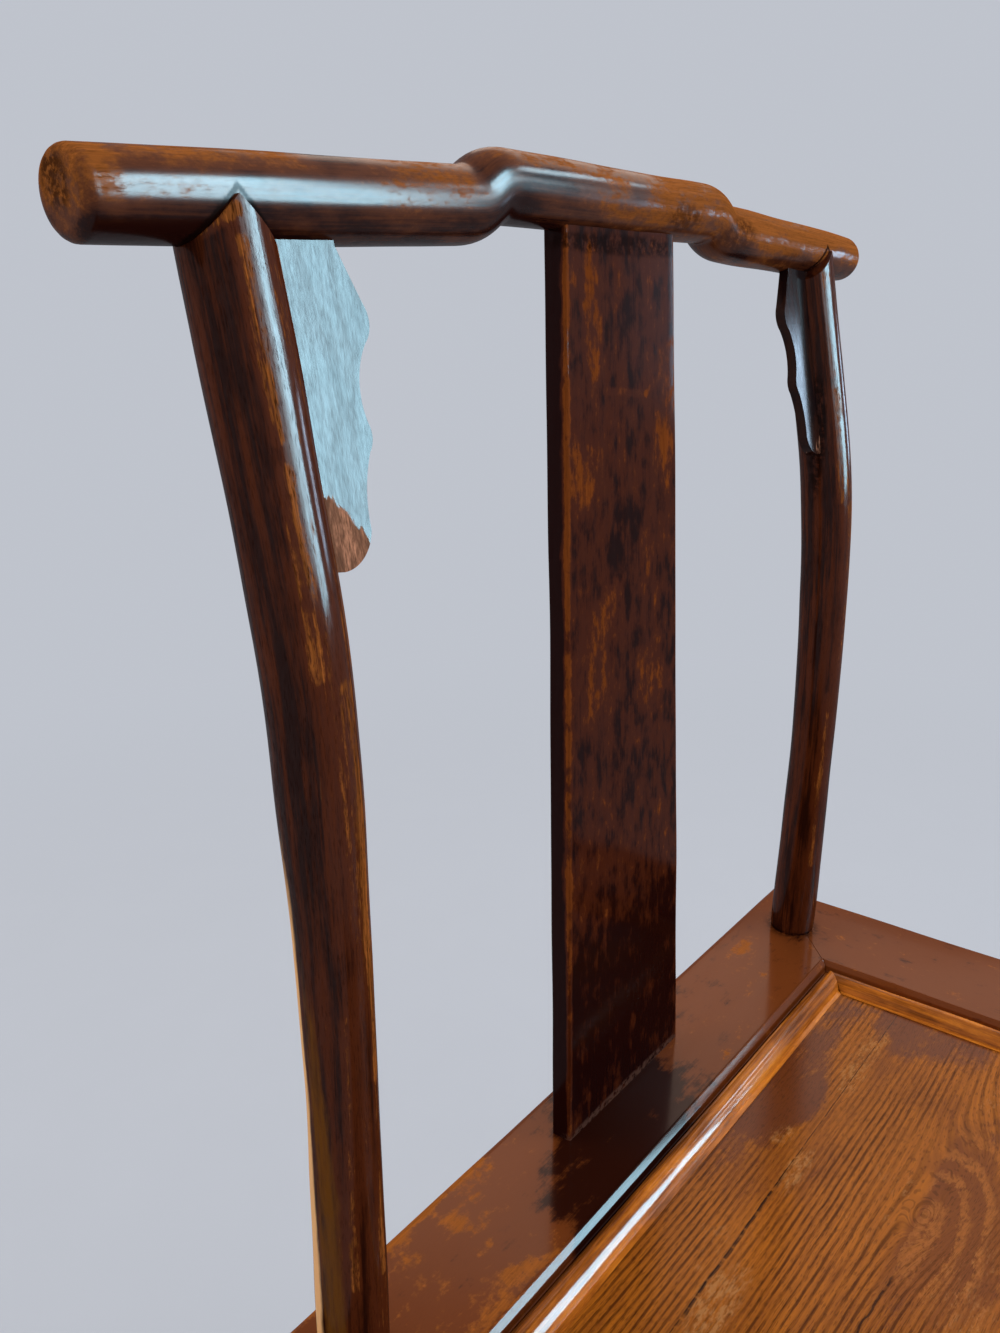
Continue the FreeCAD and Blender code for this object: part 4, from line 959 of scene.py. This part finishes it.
@dataclass
class RearPosts:
    """Rear posts, each one timber from the floor through the seat to the crest rail.

    Attributes:
        x, y, seat, under: a post's axis, and the heights of the seat's top and underside
        rise, sweep: height over the seat of the crest rail's axis, and the bend to the back
        radius, neck, leg, foot: radii over the seat, in it, under it and at the floor
        splay, edge: how far out a foot stands, and how much its edge is broken
        stations: share of the rise, share of the sweep and share of the radius
        cope_z, joint_turn: top of the joint's ridge, and how it is turned
        lean: how far the left and the right post lean to the right at the top
        olive: colour of the wood on the left post's left side; tan: worn wood with painted rim
            light
    """

    x: float = 0.232
    y: float = 0.182625
    seat: float = 0.500
    under: float = 0.468
    rise: float = 0.480
    sweep: float = 0.028
    radius: float = 0.016
    neck: float = 0.0135
    leg: float = 0.017
    foot: float = 0.016
    splay: float = 0.012
    edge: float = 0.0012
    stations: tuple[Point, ...] = (
        (0.0, 0.0, 1.0), (0.17, -0.08, 0.95), (0.34, -0.15, 0.905), (0.51, -0.12, 0.97),
        (0.68, 0.02, 1.035), (0.85, 0.5, 1.035), (1.0, 1.0, 1.04))
    cope_z: float = 0.9802
    joint_turn: float = 0.2
    lean: Pair = (-0.0035, -0.0005)
    finish: Lacquer = Lacquer("post_lacquer", rubbed=0.42, thin=0.62, patch=(0.008, 0.04),
                              streaky=0.6, pores=0.9, gloss=0.14, coat=0.31, brushed=0.58,
                              soften=0.1, speckle=0.24, deep=(0.017, 0.0036, 0.0018),
                              body=(0.075, 0.0165, 0.005), bare=(0.27, 0.085, 0.018))
    olive: Colour = (0.13, 0.046, 0.007)
    tan_rim_light: Colour = (0.78, 0.43, 0.19)

    def leg_frames(self, side: float, y: float, out: float) -> list[Matrix]:
        """Give the rings of a splayed leg from the floor up.

        Args:
            side: -1 on the left and 1 on the right
            y: the leg's axis under the seat
            out: 1 where the foot stands out to the back and -1 to the front

        Returns:
            the rings
        """
        rings = []
        for height in (0.0, 0.0012, 0.0025, *(self.under * n / 22 for n in range(1, 23))):
            lean = self.splay * (1.0 - height / self.under)
            girth = self.foot + (self.leg - self.foot) * height / self.under
            girth -= self.edge * max(0.0, 1.0 - height / 0.0025) ** 2
            rings.append(ring_at((side * (self.x + lean), y + out * lean, height), girth))
        return rings + [ring_at((side * self.x, y, self.under + 0.002), self.leg)]

    def post_frames(self, side: float) -> list[Matrix]:
        """Give the rings of a post in the seat and above it."""
        x = side * self.x
        rings = [ring_at((x, self.y, height), girth) for height, girth in (
            (self.under + 0.003, self.neck), (self.seat - 0.002, self.neck),
            (self.seat - 0.0005, self.radius - 0.0009))]
        knots = [Vector((sweep * self.sweep, girth * self.radius, share * self.rise))
                 for share, sweep, girth in self.stations]
        for back, girth, up in eased_line(knots, 9):
            girth -= self.edge / 2 * max(0.0, 1.0 - up / MM) ** 2
            lean = self.lean[int(side > 0.0)] * up / self.rise
            rings.append(ring_at((x + lean, self.y + back, self.seat + up), girth))
        last = rings[-1].translation
        return rings + [ring_at((last.x, last.y, self.cope_z + 0.0005), self.radius * 1.04)]

    def build(self) -> None:
        """Make and dress both posts."""
        for name, side in SIDES:
            timber = Timber(f"rear_post_{name}")
            rings = self.leg_frames(side, self.y, 1.0) + self.post_frames(side)
            timber.start_round(rings[0], 56)
            timber.run(rings[1:])
            timber.handwork(0.0006, 0.05, 5.0 + side)
            ridge = Vector((*rings[-1].translation.xy, self.cope_z))
            turn = side * self.joint_turn
            for slant in (-1.0, 1.0):
                face = Vector((slant * math.cos(turn), slant * math.sin(turn), 1.0))
                timber.saw(ridge, face.normalized(), 0.0005)
            timber.deliver(Slot.DARK, self.finish.on(
                Grain.CARRIED, 0.4 + side * 0.2, self.rubs(side), (4.2, -2.6), self.dirt(side)))

    def rubs(self, side: float) -> tuple[Wear, ...]:
        """List where hands and feet have worn a post."""
        return wear((
            (8, 172, 760, 20, 20, 120, 0.07), (1, 166.5, 820, 5, 166, 660, 6, 0.1),
            (4, 166, 660, 6, 10, 120, -0.12), (-17.2, 200.5, 969.5, -9, 194, 975.5, 4, 0.2),
            (-8.8, 192.5, 966, -9.2, 181, 905, 4, 0.13),
            (-8.8, 179, 895, -9.8, 169, 826, 4.5, 0.12),
            (5.5, 165.5, 710, 5.8, 166, 560, 4, 0.14), (-8, 168, 690, -9, 169, 560, 4, 0.11),
            (side * 8, 190, 0, 60, 60, 70, 0.13)), side * self.x)

    def dirt(self, side: float) -> tuple[Dirt, ...]:
        """List a post's dirt and rubbed wood, with the left post's painted rim of light."""
        x = side * self.x
        grime = stains(SOOT, ((0, 182.625, 499.5, 40, 40, 4, 0.9),
                              (-side * 16.5, 186, 870, 4, 8, 60, 0.9)), x)
        if side > 0.0:
            return grime
        lines = wear(((-15.8, 180.5, 780, -14.6, 176.5, 600, 6.2, 0.6, 0.8),
                      (-14.6, 176.5, 700, -14.8, 176.5, 505, 8.8, 0.62, 0.5),
                      (-16.6, 187, 810, -14.9, 187, 505, 6, 0.9, 0.4)), x)
        # The tan line along the back-left edge is worn wood with a painted rim of light over it.
        return (*map(PaleLine, lines, (self.olive, self.olive, self.tan_rim_light)), *grime)


@dataclass
class FrontLegs(RearPosts):
    """Front legs, which end under the seat frame."""

    front_y: float = -0.184375

    def build(self) -> None:
        """Make and dress both legs."""
        for name, side in SIDES:
            timber = Timber(f"front_leg_{name}")
            rings = self.leg_frames(side, self.front_y, -1.0)
            timber.start_round(rings[0], 56)
            timber.run(rings[1:])
            timber.handwork(0.0006, 0.05, 11.0 + side)
            rubs = wear(((side * 240, -200, 0, 60, 60, 80, 0.14),
                         (side * 240, -200, 200, 60, 60, 100, 0.05)))
            timber.deliver(Slot.DARK,
                           self.finish.on(Grain.CARRIED, 0.9 + side * 0.2, rubs, (1.0, -2.6)))


@dataclass
class BackSplat:
    """Back splat: a plain bowed board, wider at its foot."""

    foot_width: float = 0.1215
    head_width: float = 0.097
    thickness: float = 0.0125
    foot: Point = (0.0, 0.191125, 0.488)
    head: Point = (0.0, 0.209125, 0.988508)
    bow: float = 0.001
    arris: float = 0.0016
    finish: Lacquer = Lacquer("splat_lacquer", rubbed=0.42, thin=0.58, patch=(0.008, 0.017),
                              streaky=0.2, gloss=0.12, coat=0.16, dull=0.9, pores=0.3,
                              soften=0.2, figure=0.3, grit=(320.0, 180.0), speckle=0.5,
                              deep=(0.013, 0.0022, 0.0016), body=(0.06, 0.0125, 0.0042),
                              bare=(0.2, 0.052, 0.011))
    rubs: tuple[Wear, ...] = wear((
        (0, 200, 885, 200, 100, 160, 0.03), (-28.5, 200, 962, 9, 30, 26, 0.14),
        (-27.5, 200, 928, 12, 30, 30, 0.16), (-38, 199, 870, 16, 30, 28, 0.18),
        (-19, 196, 798, 13, 30, 18, 0.16), (-30, 195, 768, 24, 30, 45, 0.16),
        (19.6, 197, 825, 10, 30, 15, 0.16), (33, 199, 876, 11, 30, 22, 0.15),
        (26, 194.5, 750, 22, 30, 38, 0.13), (0, 197, 835, 30, 30, 30, -0.1),
        (48, 203, 985, 60, 185.2, 495, 2.4, 0.2), (0, 190, 560, 200, 100, 100, -0.13),
        (0, 190, 650, 200, 100, 45, 0.05), (-18, 200, 907.5, 20, 200, 904, 3, 0.09),
        (20, 200, 904, 34, 200, 912, 3, 0.09), (46, 200.6, 925, 41.5, 198.5, 860, 9, 0.14),
        (-48, 203, 985, -60, 185.2, 495, 2.8, 0.24),
        # Painted shade: the last line darkens the splat's whole left side face.
        (-51, 211.5, 985, -62.5, 194.5, 490, 9, -0.3)))
    dirt: tuple[Dirt, ...] = (
        *stains((0.12, 0.06, 0.045), ((0, 186, 501, 90, 10, 5, 0.6),)),
        # Painted shade: the near-black band across the top of the splat, just under the crest rail.
        *stains((0.008, 0.002, 0.0014), ((0, 200, 974.5, 90, 30, 6, 0.8),)))

    def frame(self, share: float) -> Matrix:
        """Give the section's place: X across the board, Y to its back, Z up."""
        spot = Vector(self.foot).lerp(Vector(self.head), share)
        spot.y -= self.bow * 4.0 * share * (1.0 - share)
        width = self.foot_width + (self.head_width - self.foot_width) * share
        return Matrix.Translation(spot) @ Matrix.Diagonal((width / self.foot_width, 1.0, 1.0, 1.0))

    def build(self) -> None:
        """Make and dress the board."""
        timber = Timber("back_splat")
        half, deep = self.foot_width / 2, self.thickness / 2
        across = [half * n / 6 for n in range(-6, 7)]
        outline = [(u, -deep) for u in across] + [(u, deep) for u in reversed(across)]
        timber.start_section(self.frame(0.0), outline, dict.fromkeys((0, 12, 13, 25), self.arris),
                             3)
        timber.run([self.frame(n / 48) for n in range(1, 49)])
        timber.handwork(0.0005, 0.06, 21.0)
        timber.deliver(Slot.DARK, self.finish.on(Grain.UPRIGHT, 0.13, self.rubs, dirt=self.dirt))


@dataclass
class Moulding:
    """A straight strip along one side of the seat.

    Attributes:
        node: the model's piece that it stands for
        origin: middle of its outer edge
        inward, along: directions to the seat's middle and of its length
        length: its length, corner to corner
    """

    node: str
    origin: Vector
    inward: Vector
    along: Vector
    length: float

    @property
    def grain(self) -> Grain:
        """Give which way its grain runs."""
        return Grain.SIDEWAYS if self.along.x else Grain.FORWARD

    def timber(self, section: tuple[Sequence[Pair], Mapping[int, float]], step: float,
               scrape: Point, widths: Pair, ease: float) -> Timber:
        """Make the strip with mitred ends.

        Args:
            section: its corners, inwards and up, and the radius of each that is rounded
            step: length of one step
            scrape: depth, size and seed of its handwork
            widths: how far in from a corner, to the side and to the middle, the mitre ends
            ease: how much a mitre's edge is broken

        Returns:
            the timber
        """
        timber = Timber(self.node)
        turn = Matrix((self.inward, UP, self.along)).transposed().to_4x4()
        count = round(self.length / step)
        frames = [Matrix.Translation(self.origin + self.along * self.length * (n / count - 0.5))
                  @ turn for n in range(count + 1)]
        timber.start_section(frames[0], *section, 5)
        timber.run(frames[1:])
        timber.handwork(*scrape)
        for end in (-1.0, 1.0):
            corner = self.origin + self.along * end * self.length / 2
            waste = Vector((math.copysign(widths[1], corner.y), -math.copysign(widths[0], corner.x),
                            0.0)).normalized()
            waste *= math.copysign(1.0, waste.dot(self.along) * end)
            timber.saw(corner - waste * 0.1 * MM, waste, ease)
        return timber


@dataclass
class SeatFrame:
    """Mitred seat frame, its bead strips and its panel."""

    half_width: float = 0.282
    rear: float = 0.219625
    front: float = -0.226375
    top: float = 0.500
    long_rail: float = 0.079
    side_rail: float = 0.086
    gap: float = 0.001
    panel_gap: float = 0.0003
    panel_top: float = 0.494
    bead_width: float = 0.018
    panel_thickness: float = 0.013
    finish: Lacquer = Lacquer("frame_lacquer", rubbed=0.44, thin=0.96, patch=(0.013, 0.02),
                              streaky=0.12, gloss=0.13, coat=0.22, pores=0.2, belly=0.00015,
                              soften=0.15, figure=0.3, brushed=0.15, grit=(420.0, 330.0),
                              speckle=0.34, deep=(0.022, 0.0045, 0.002),
                              body=(0.135, 0.034, 0.008), bare=(0.3, 0.09, 0.016))
    bead_finish: Lacquer = Lacquer("bead_lacquer", rubbed=0.8, thin=0.6, patch=(0.02, 0.08),
                                   streaky=0.4, gloss=0.13, coat=0.3, dull=0.1, pores=0.05,
                                   belly=0.0002, soften=0.2, figure=0.3, brushed=0.06,
                                   deep=(0.14, 0.038, 0.006), body=(0.42, 0.12, 0.013),
                                   bare=(0.7, 0.24, 0.024))
    rubs: tuple[Wear, ...] = wear((
        (-150, 212, 500, 90, 20, 30, 0.1), (-129, 200, 500, 30, 14, 30, 0.08),
        (-160, 152, 500, 50, 14, 30, 0.1), (174, 199, 500, 30, 12, 30, 0.12),
        # Painted reflection and shadow of the splat: a wide line of dark lacquer from its foot
        # towards the front left.
        (30, 209, 500, -75, 136, 500, 62, -0.36, 0.25),
        (-280, 217.5, 500, -100, 217.5, 500, 6, 0.11), (-200, 151, 500, -90, 151, 500, 9, 0.08),
        (-170, 185, 500, 90, 45, 30, 0.035), (0, -210, 500, 240, 50, 40, 0.09)))
    # Darker ring round each post's foot on the frame top.
    dirt: tuple[Dirt, ...] = stains((0.008, 0.002, 0.0012), (
        (232, 182.6, 500, 23, 23, 10, 0.85), (-232, 182.6, 500, 23, 23, 10, 0.85)))

    def rail_section(self, width: float) -> tuple[list[Pair], dict[int, float]]:
        """Give a rail's corners, inwards and up from its upper edge, and their roundings."""
        cove = bezier(((2.0, -14.0), (1.6, -19.0), (4.2, -26.5), (10.0, -29.0)), 6)
        ridge = [(79.0, -5.2), (78.4, -5.0),
                 *bezier(((78.1, -4.2), (78.0, -2.6), (77.9, -1.7), (77.6, -1.3)), 5),
                 *bezier(((75.1, 0.9), (74.7, 1.25), (74.0, 1.25), (73.6, 0.6)), 6), (73.1, 0.0)]
        points = [(0.0, 0.0), (0.0, -14.0), *cove, (10.0, -32.0), (79.0, -32.0), *ridge,
                  *((u, 0.0) for u in (60.0, 47.0, 34.0, 20.0))]
        return [(u * width / self.long_rail * MM, v * MM) for u, v in points], {0: 0.005, 1: 0.0012}

    def mouldings(self, kind: str, inset: Pair, height: float) -> list[Moulding]:
        """Place a strip along each side of the seat, some way in from its edges."""
        half = Vector((self.half_width - inset[0], (self.rear - self.front) / 2 - inset[1], 0.0))
        centre = Vector((0.0, (self.rear + self.front) / 2, height))
        strips = []
        for name, inward in (("rear", (0.0, -1.0, 0.0)), ("front", (0.0, 1.0, 0.0)),
                             ("left", (1.0, 0.0, 0.0)), ("right", (-1.0, 0.0, 0.0))):
            inwards, along = Vector(inward), Vector((abs(inward[1]), abs(inward[0]), 0.0))
            strips.append(Moulding(f"{kind}_{name}", centre - inwards * half, inwards, along,
                                   2.0 * along.dot(half)))
        return strips

    def panel(self) -> None:
        """Make and dress the panel."""
        timber = Timber("seat_panel")
        half_x = self.half_width - self.side_rail - self.panel_gap
        half_y = (self.rear - self.front) / 2 - self.long_rail - self.panel_gap
        centre = Vector((0.0, (self.rear + self.front) / 2, self.panel_top))
        bmesh.ops.create_grid(timber.mesh, x_segments=80, y_segments=60, size=1.0, matrix=(
            Matrix.Translation(centre) @ Matrix.Diagonal((half_x, half_y, 1.0, 1.0))))
        timber.handwork(0.0003, 0.05, 31.0)
        made = bmesh.ops.extrude_face_region(timber.mesh, geom=list(timber.mesh.faces))["geom"]
        lower = [item for item in made if isinstance(item, bmesh.types.BMVert)]
        bmesh.ops.translate(timber.mesh, vec=-UP * self.panel_thickness, verts=lower)
        timber.deliver(Slot.SEAT, PanelWood().on_panel())

    def build(self) -> None:
        """Make and dress the whole seat."""
        for count, strip in enumerate(self.mouldings("seat_rail", (0.0, 0.0), self.top)):
            seed = 41.0 + 2.0 * count
            width = self.long_rail if strip.along.x else self.side_rail
            timber = strip.timber(self.rail_section(width), 0.012, (0.00035, 0.055, seed),
                                  (self.side_rail, self.long_rail), 0.0004)
            timber.deliver(Slot.FRAME,
                           self.finish.on(strip.grain, seed * 0.1, self.rubs, dirt=self.dirt))
        dome = bezier(((2.2, 1.2), (2.6, 8.8), (11.4, 10.4), (15.0, 0.45)), 20)
        points = [(0.0, 0.0), (0.0, 0.9), (1.8, 1.0), *dome, (18.0, 0.4), (18.0, 0.0)]
        section = [(u * MM, v * MM) for u, v in points], {}
        inset = self.side_rail + self.gap, self.long_rail + self.gap
        for count, strip in enumerate(self.mouldings("bead_strip", inset, self.panel_top)):
            seed = 51.0 + 2.0 * count
            timber = strip.timber(section, 0.008, (0.0006, 0.035, seed),
                                  (self.bead_width, self.bead_width), 0.0003)
            timber.deliver(Slot.WORN, self.bead_finish.on(strip.grain, seed * 0.13), 50.0)
        self.panel()


@dataclass(frozen=True)
class Board:
    """One of the flat or plain pieces that keeps the model's own shape."""

    node: str
    grain: Grain
    finish: Lacquer
    ease: float = 0.0008
    worn: tuple[Wear, ...] = ()
    slot: Slot = Slot.DARK


@dataclass
class PlainPieces:
    """Spandrels, aprons and stretchers: the model's own shapes, their arrises eased by wear."""

    nodes: Mapping[str, bpy.types.Object]
    spandrel: Lacquer = Lacquer("spandrel_lacquer", rubbed=0.3, thin=0.5, patch=(0.012, 0.04),
                                streaky=0.5, gloss=0.15, coat=0.275, dull=0.95, pores=0.3,
                                brushed=0.5, grit=(1300.0, 42.0), deep=(0.008, 0.003, 0.003),
                                body=(0.024, 0.008, 0.005), bare=(0.42, 0.2, 0.12))
    below: Lacquer = Lacquer("apron_lacquer", rubbed=0.34, thin=0.55)
    tread: Lacquer = Lacquer("footrest_lacquer", rubbed=0.8, patch=(0.03, 0.1), gloss=0.2,
                             body=(0.1, 0.034, 0.014), bare=(0.3, 0.13, 0.05))
    raw: Lacquer = Lacquer("batten_wood", rubbed=0.9, coat=0.1, gloss=0.4,
                           deep=(0.06, 0.028, 0.016), body=(0.13, 0.06, 0.032),
                           bare=(0.22, 0.115, 0.06))

    def boards(self) -> list[Board]:
        """List the pieces with their finish and their rubbed spots."""
        upright, forward, sideways = Grain.UPRIGHT, Grain.FORWARD, Grain.SIDEWAYS
        rows: list[Board] = []
        for name, side in SIDES:
            tip = (side * 222.5, 187, 872, side * 200, 187, 848, 18, 0.55 if side < 0.0 else 0.05)
            rows += [
                Board(f"spandrel_{name}", upright, self.spandrel, 0.0015, wear((tip,))),
                Board(f"front_jamb_{name}", upright, self.below),
                Board(f"side_apron_{name}", forward, self.below),
                Board(f"side_stretcher_{name}", forward, self.below, 0.0012,
                      wear(((side * 240, 0, 144, 30, 200, 12, 0.12),))),
                Board(f"side_apron_{name}_ear_front", upright, self.below),
                Board(f"side_apron_{name}_ear_rear", upright, self.below),
                Board(f"rear_apron_ear_{name}", upright, self.below),
                Board(f"batten_{name}", forward, self.raw, 0.0006, slot=Slot.BARE)]
        rows += [Board(node, sideways, self.below)
                 for node in ("front_apron", "rear_apron", "footrest_apron")]
        return rows + [
            Board("rear_stretcher", sideways, self.below, 0.0012),
            Board("footrest", sideways, self.tread, 0.0012,
                  wear(((0, -197, 92, 190, 30, 10, 0.12),)))]

    def build(self) -> None:
        """Make and dress every such piece."""
        for count, board in enumerate(self.boards()):
            timber = Timber(board.node)
            timber.copy(self.nodes[board.node].data)
            timber.ease(board.ease)
            timber.deliver(board.slot, board.finish.on(board.grain, 0.17 * count, board.worn))


class Duty(Enum):
    """What a lamp is for."""

    LIGHT = "to light the chair"
    SHINE = "to be seen in the chair's gloss"


@dataclass(frozen=True)
class SoftBox:
    """A large soft lamp that faces the chair, its direction in degrees."""

    name: str
    duty: Duty
    azimuth: float
    elevation: float
    distance: float
    width: float
    height: float
    radiance: float
    colour: Colour
    aim: Point = (0.0, 0.0, 0.85)

    def build(self) -> None:
        """Hang the lamp."""
        lamp = bpy.data.lights.new(self.name, "AREA")
        lamp.shape = "RECTANGLE"
        lamp.size, lamp.size_y = self.width, self.height
        lamp.energy = self.radiance * math.pi * self.width * self.height
        lamp.color = self.colour
        around, up = math.radians(self.azimuth), math.radians(self.elevation)
        away = Vector((math.cos(around) * math.cos(up), math.sin(around) * math.cos(up),
                       math.sin(up)))
        hung = bpy.data.objects.new(self.name, lamp)
        hung.location = Vector(self.aim) + away * self.distance
        hung.rotation_euler = away.to_track_quat("Z", "Y").to_euler()
        hung.visible_camera = False
        hung.visible_glossy = self.duty is Duty.SHINE
        hung.visible_diffuse = self.duty is Duty.LIGHT
        bpy.context.scene.collection.objects.link(hung)


@dataclass
class Studio:
    """Pale floor that fades into a pale backdrop, soft lamps and the camera.

    Attributes:
        pale, ambient, ambient_strength: the backdrop, and the light from all round
        floor_reach, floor_paint: radius and colour of the floor
        lamps: all lamps
        eye, heading, dip, roll, lens: the camera's place, its angles in radians and its lens
    """

    pale: Colour = (0.522, 0.548, 0.606)
    ambient: Colour = (1.0, 0.97, 0.94)
    ambient_strength: float = 0.35
    floor_reach: float = 9.0
    floor_paint: Colour = (0.5, 0.54, 0.63)
    lamps: tuple[SoftBox, ...] = (
        SoftBox("key", Duty.LIGHT, -52.0, 24.0, 2.6, 1.4, 1.6, 4.2, (0.93, 0.97, 1.0)),
        SoftBox("fill", Duty.LIGHT, -110.0, 20.0, 2.6, 1.4, 1.6, 1.6, (1.0, 0.96, 0.9)),
        SoftBox("behind", Duty.LIGHT, 28.0, 42.0, 3.0, 2.0, 1.4, 5.0, (1.0, 0.94, 0.86)),
        SoftBox("top", Duty.LIGHT, -130.0, 84.0, 2.6, 2.4, 2.4, 0.7, (1.0, 0.97, 0.93)),
        SoftBox("left", Duty.LIGHT, 190.0, 30.0, 3.0, 2.0, 2.0, 1.2, (1.0, 0.95, 0.88)),
        SoftBox("back", Duty.LIGHT, 120.0, 18.0, 3.0, 2.0, 2.0, 2.4, (1.0, 0.9, 0.78)),
        SoftBox("window_right", Duty.SHINE, -52.0, 21.0, 2.6, 1.0, 2.1, 66.0, (0.5, 0.83, 1.0)),
        SoftBox("window_left", Duty.SHINE, -68.8, 23.0, 2.6, 0.52, 1.7, 28.0, (0.55, 0.85, 1.0)),
        SoftBox("window_front", Duty.SHINE, -84.0, 20.0, 2.6, 0.7, 1.6, 9.0, (0.68, 0.9, 1.0)),
        SoftBox("pane", Duty.SHINE, -34.0, 20.0, 2.6, 0.22, 0.4, 24.0, (0.6, 0.86, 1.0)),
        SoftBox("transom", Duty.SHINE, -17.0, 34.5, 2.6, 0.62, 0.24, 34.0, (0.6, 0.86, 1.0)),
        SoftBox("doorway", Duty.SHINE, -17.0, 4.0, 2.6, 0.5, 0.42, 27.0, (0.55, 0.76, 1.0)),
        SoftBox("wall", Duty.SHINE, 25.0, 33.0, 3.0, 2.4, 1.2, 3.1, (1.0, 0.74, 0.58)))
    eye: Point = (-0.48286, -0.09985, 0.94314)
    heading: float = 0.904199
    dip: float = 0.309137
    roll: float = -0.008016
    lens: float = 29.745

    def background(self, desk: Desk) -> Value:
        """Give 1 for the rays of the camera, of gloss and of glass, which see the backdrop."""
        path = desk.node("ShaderNodeLightPath", {}, {}).socket.node
        camera, gloss, glass = (Value(desk, path.outputs[name]) for name in (
            "Is Camera Ray", "Is Glossy Ray", "Is Transmission Ray"))
        return camera + gloss + glass

    def world(self) -> None:
        """Make the pale surroundings."""
        world = bpy.data.worlds.new("studio")
        bpy.context.scene.world = world
        desk = Desk(world)
        seen = self.background(desk)
        backdrop = desk.node("ShaderNodeBackground", {}, {"Color": self.pale, "Strength": 1.0})
        light = desk.node("ShaderNodeBackground", {},
                          {"Color": self.ambient, "Strength": self.ambient_strength})
        desk.show(desk.node("ShaderNodeMixShader", {}, {0: seen, 1: light, 2: backdrop}),
                  "ShaderNodeOutputWorld")

    def floor(self) -> None:
        """Lay the floor, which takes the chair's shadow near it and fades into the backdrop."""
        mesh = bmesh.new()
        bmesh.ops.create_circle(mesh, cap_ends=True, segments=96, radius=self.floor_reach)
        data = bpy.data.meshes.new("studio_floor")
        mesh.to_mesh(data)
        mesh.free()
        desk = Desk(bpy.data.materials.new("floor_paint"))
        away = (desk.place() * (1.0, 1.0, 0.0)).size()
        paint = desk.tint(self.floor_paint, 0.97 + 0.06 * desk.cloud(desk.place(), 9.0, 2.0))
        matt = desk.node("ShaderNodeBsdfDiffuse", {}, {"Color": paint})
        glow = desk.node("ShaderNodeEmission", {}, {"Color": self.pale, "Strength": 1.0})
        share = self.background(desk) * (0.55 + 0.45 * away.rise(0.9, 2.6))
        desk.show(desk.node("ShaderNodeMixShader", {}, {0: share, 1: matt, 2: glow}))
        data.materials.append(desk.owner)
        floor = bpy.data.objects.new("studio_floor", data)
        bpy.context.scene.collection.objects.link(floor)
        floor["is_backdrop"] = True

    def camera(self) -> None:
        """Set the camera where the photograph was taken from."""
        data = bpy.data.cameras.new("photographer")
        data.lens, data.sensor_width, data.sensor_fit = self.lens, 36.0, "AUTO"
        data.clip_start, data.clip_end = 0.05, 60.0
        camera = bpy.data.objects.new("photographer", data)
        camera.matrix_world = (Matrix.Translation(self.eye)
                               @ Matrix.Rotation(-self.heading, 4, "Z")
                               @ Matrix.Rotation(math.pi / 2 - self.dip, 4, "X")
                               @ Matrix.Rotation(self.roll, 4, "Z"))
        bpy.context.scene.collection.objects.link(camera)
        bpy.context.scene.camera = camera

    def build(self) -> None:
        """Set up everything round the chair."""
        bpy.context.scene.view_settings.view_transform = "Standard"
        self.world()
        self.floor()
        self.camera()
        for lamp in self.lamps:
            lamp.build()


def plain(box: Any) -> list[list[float]]:
    """Turn a box's corners into plain lists."""
    return [[float(number) for number in corner] for corner in box]


def main() -> None:
    """Build the chair's looks and its studio, with every piece kept inside the model's box."""
    logging.basicConfig(level=logging.INFO, format="%(message)s")
    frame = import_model()
    model_box = plain(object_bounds())
    Timber.room = model_box
    for part in (CrestRail(), RearPosts(), FrontLegs(), BackSplat(), SeatFrame(),
                 PlainPieces(frame["nodes"])):
        part.build()
    Studio().build()


if __name__ == "__main__":
    main()
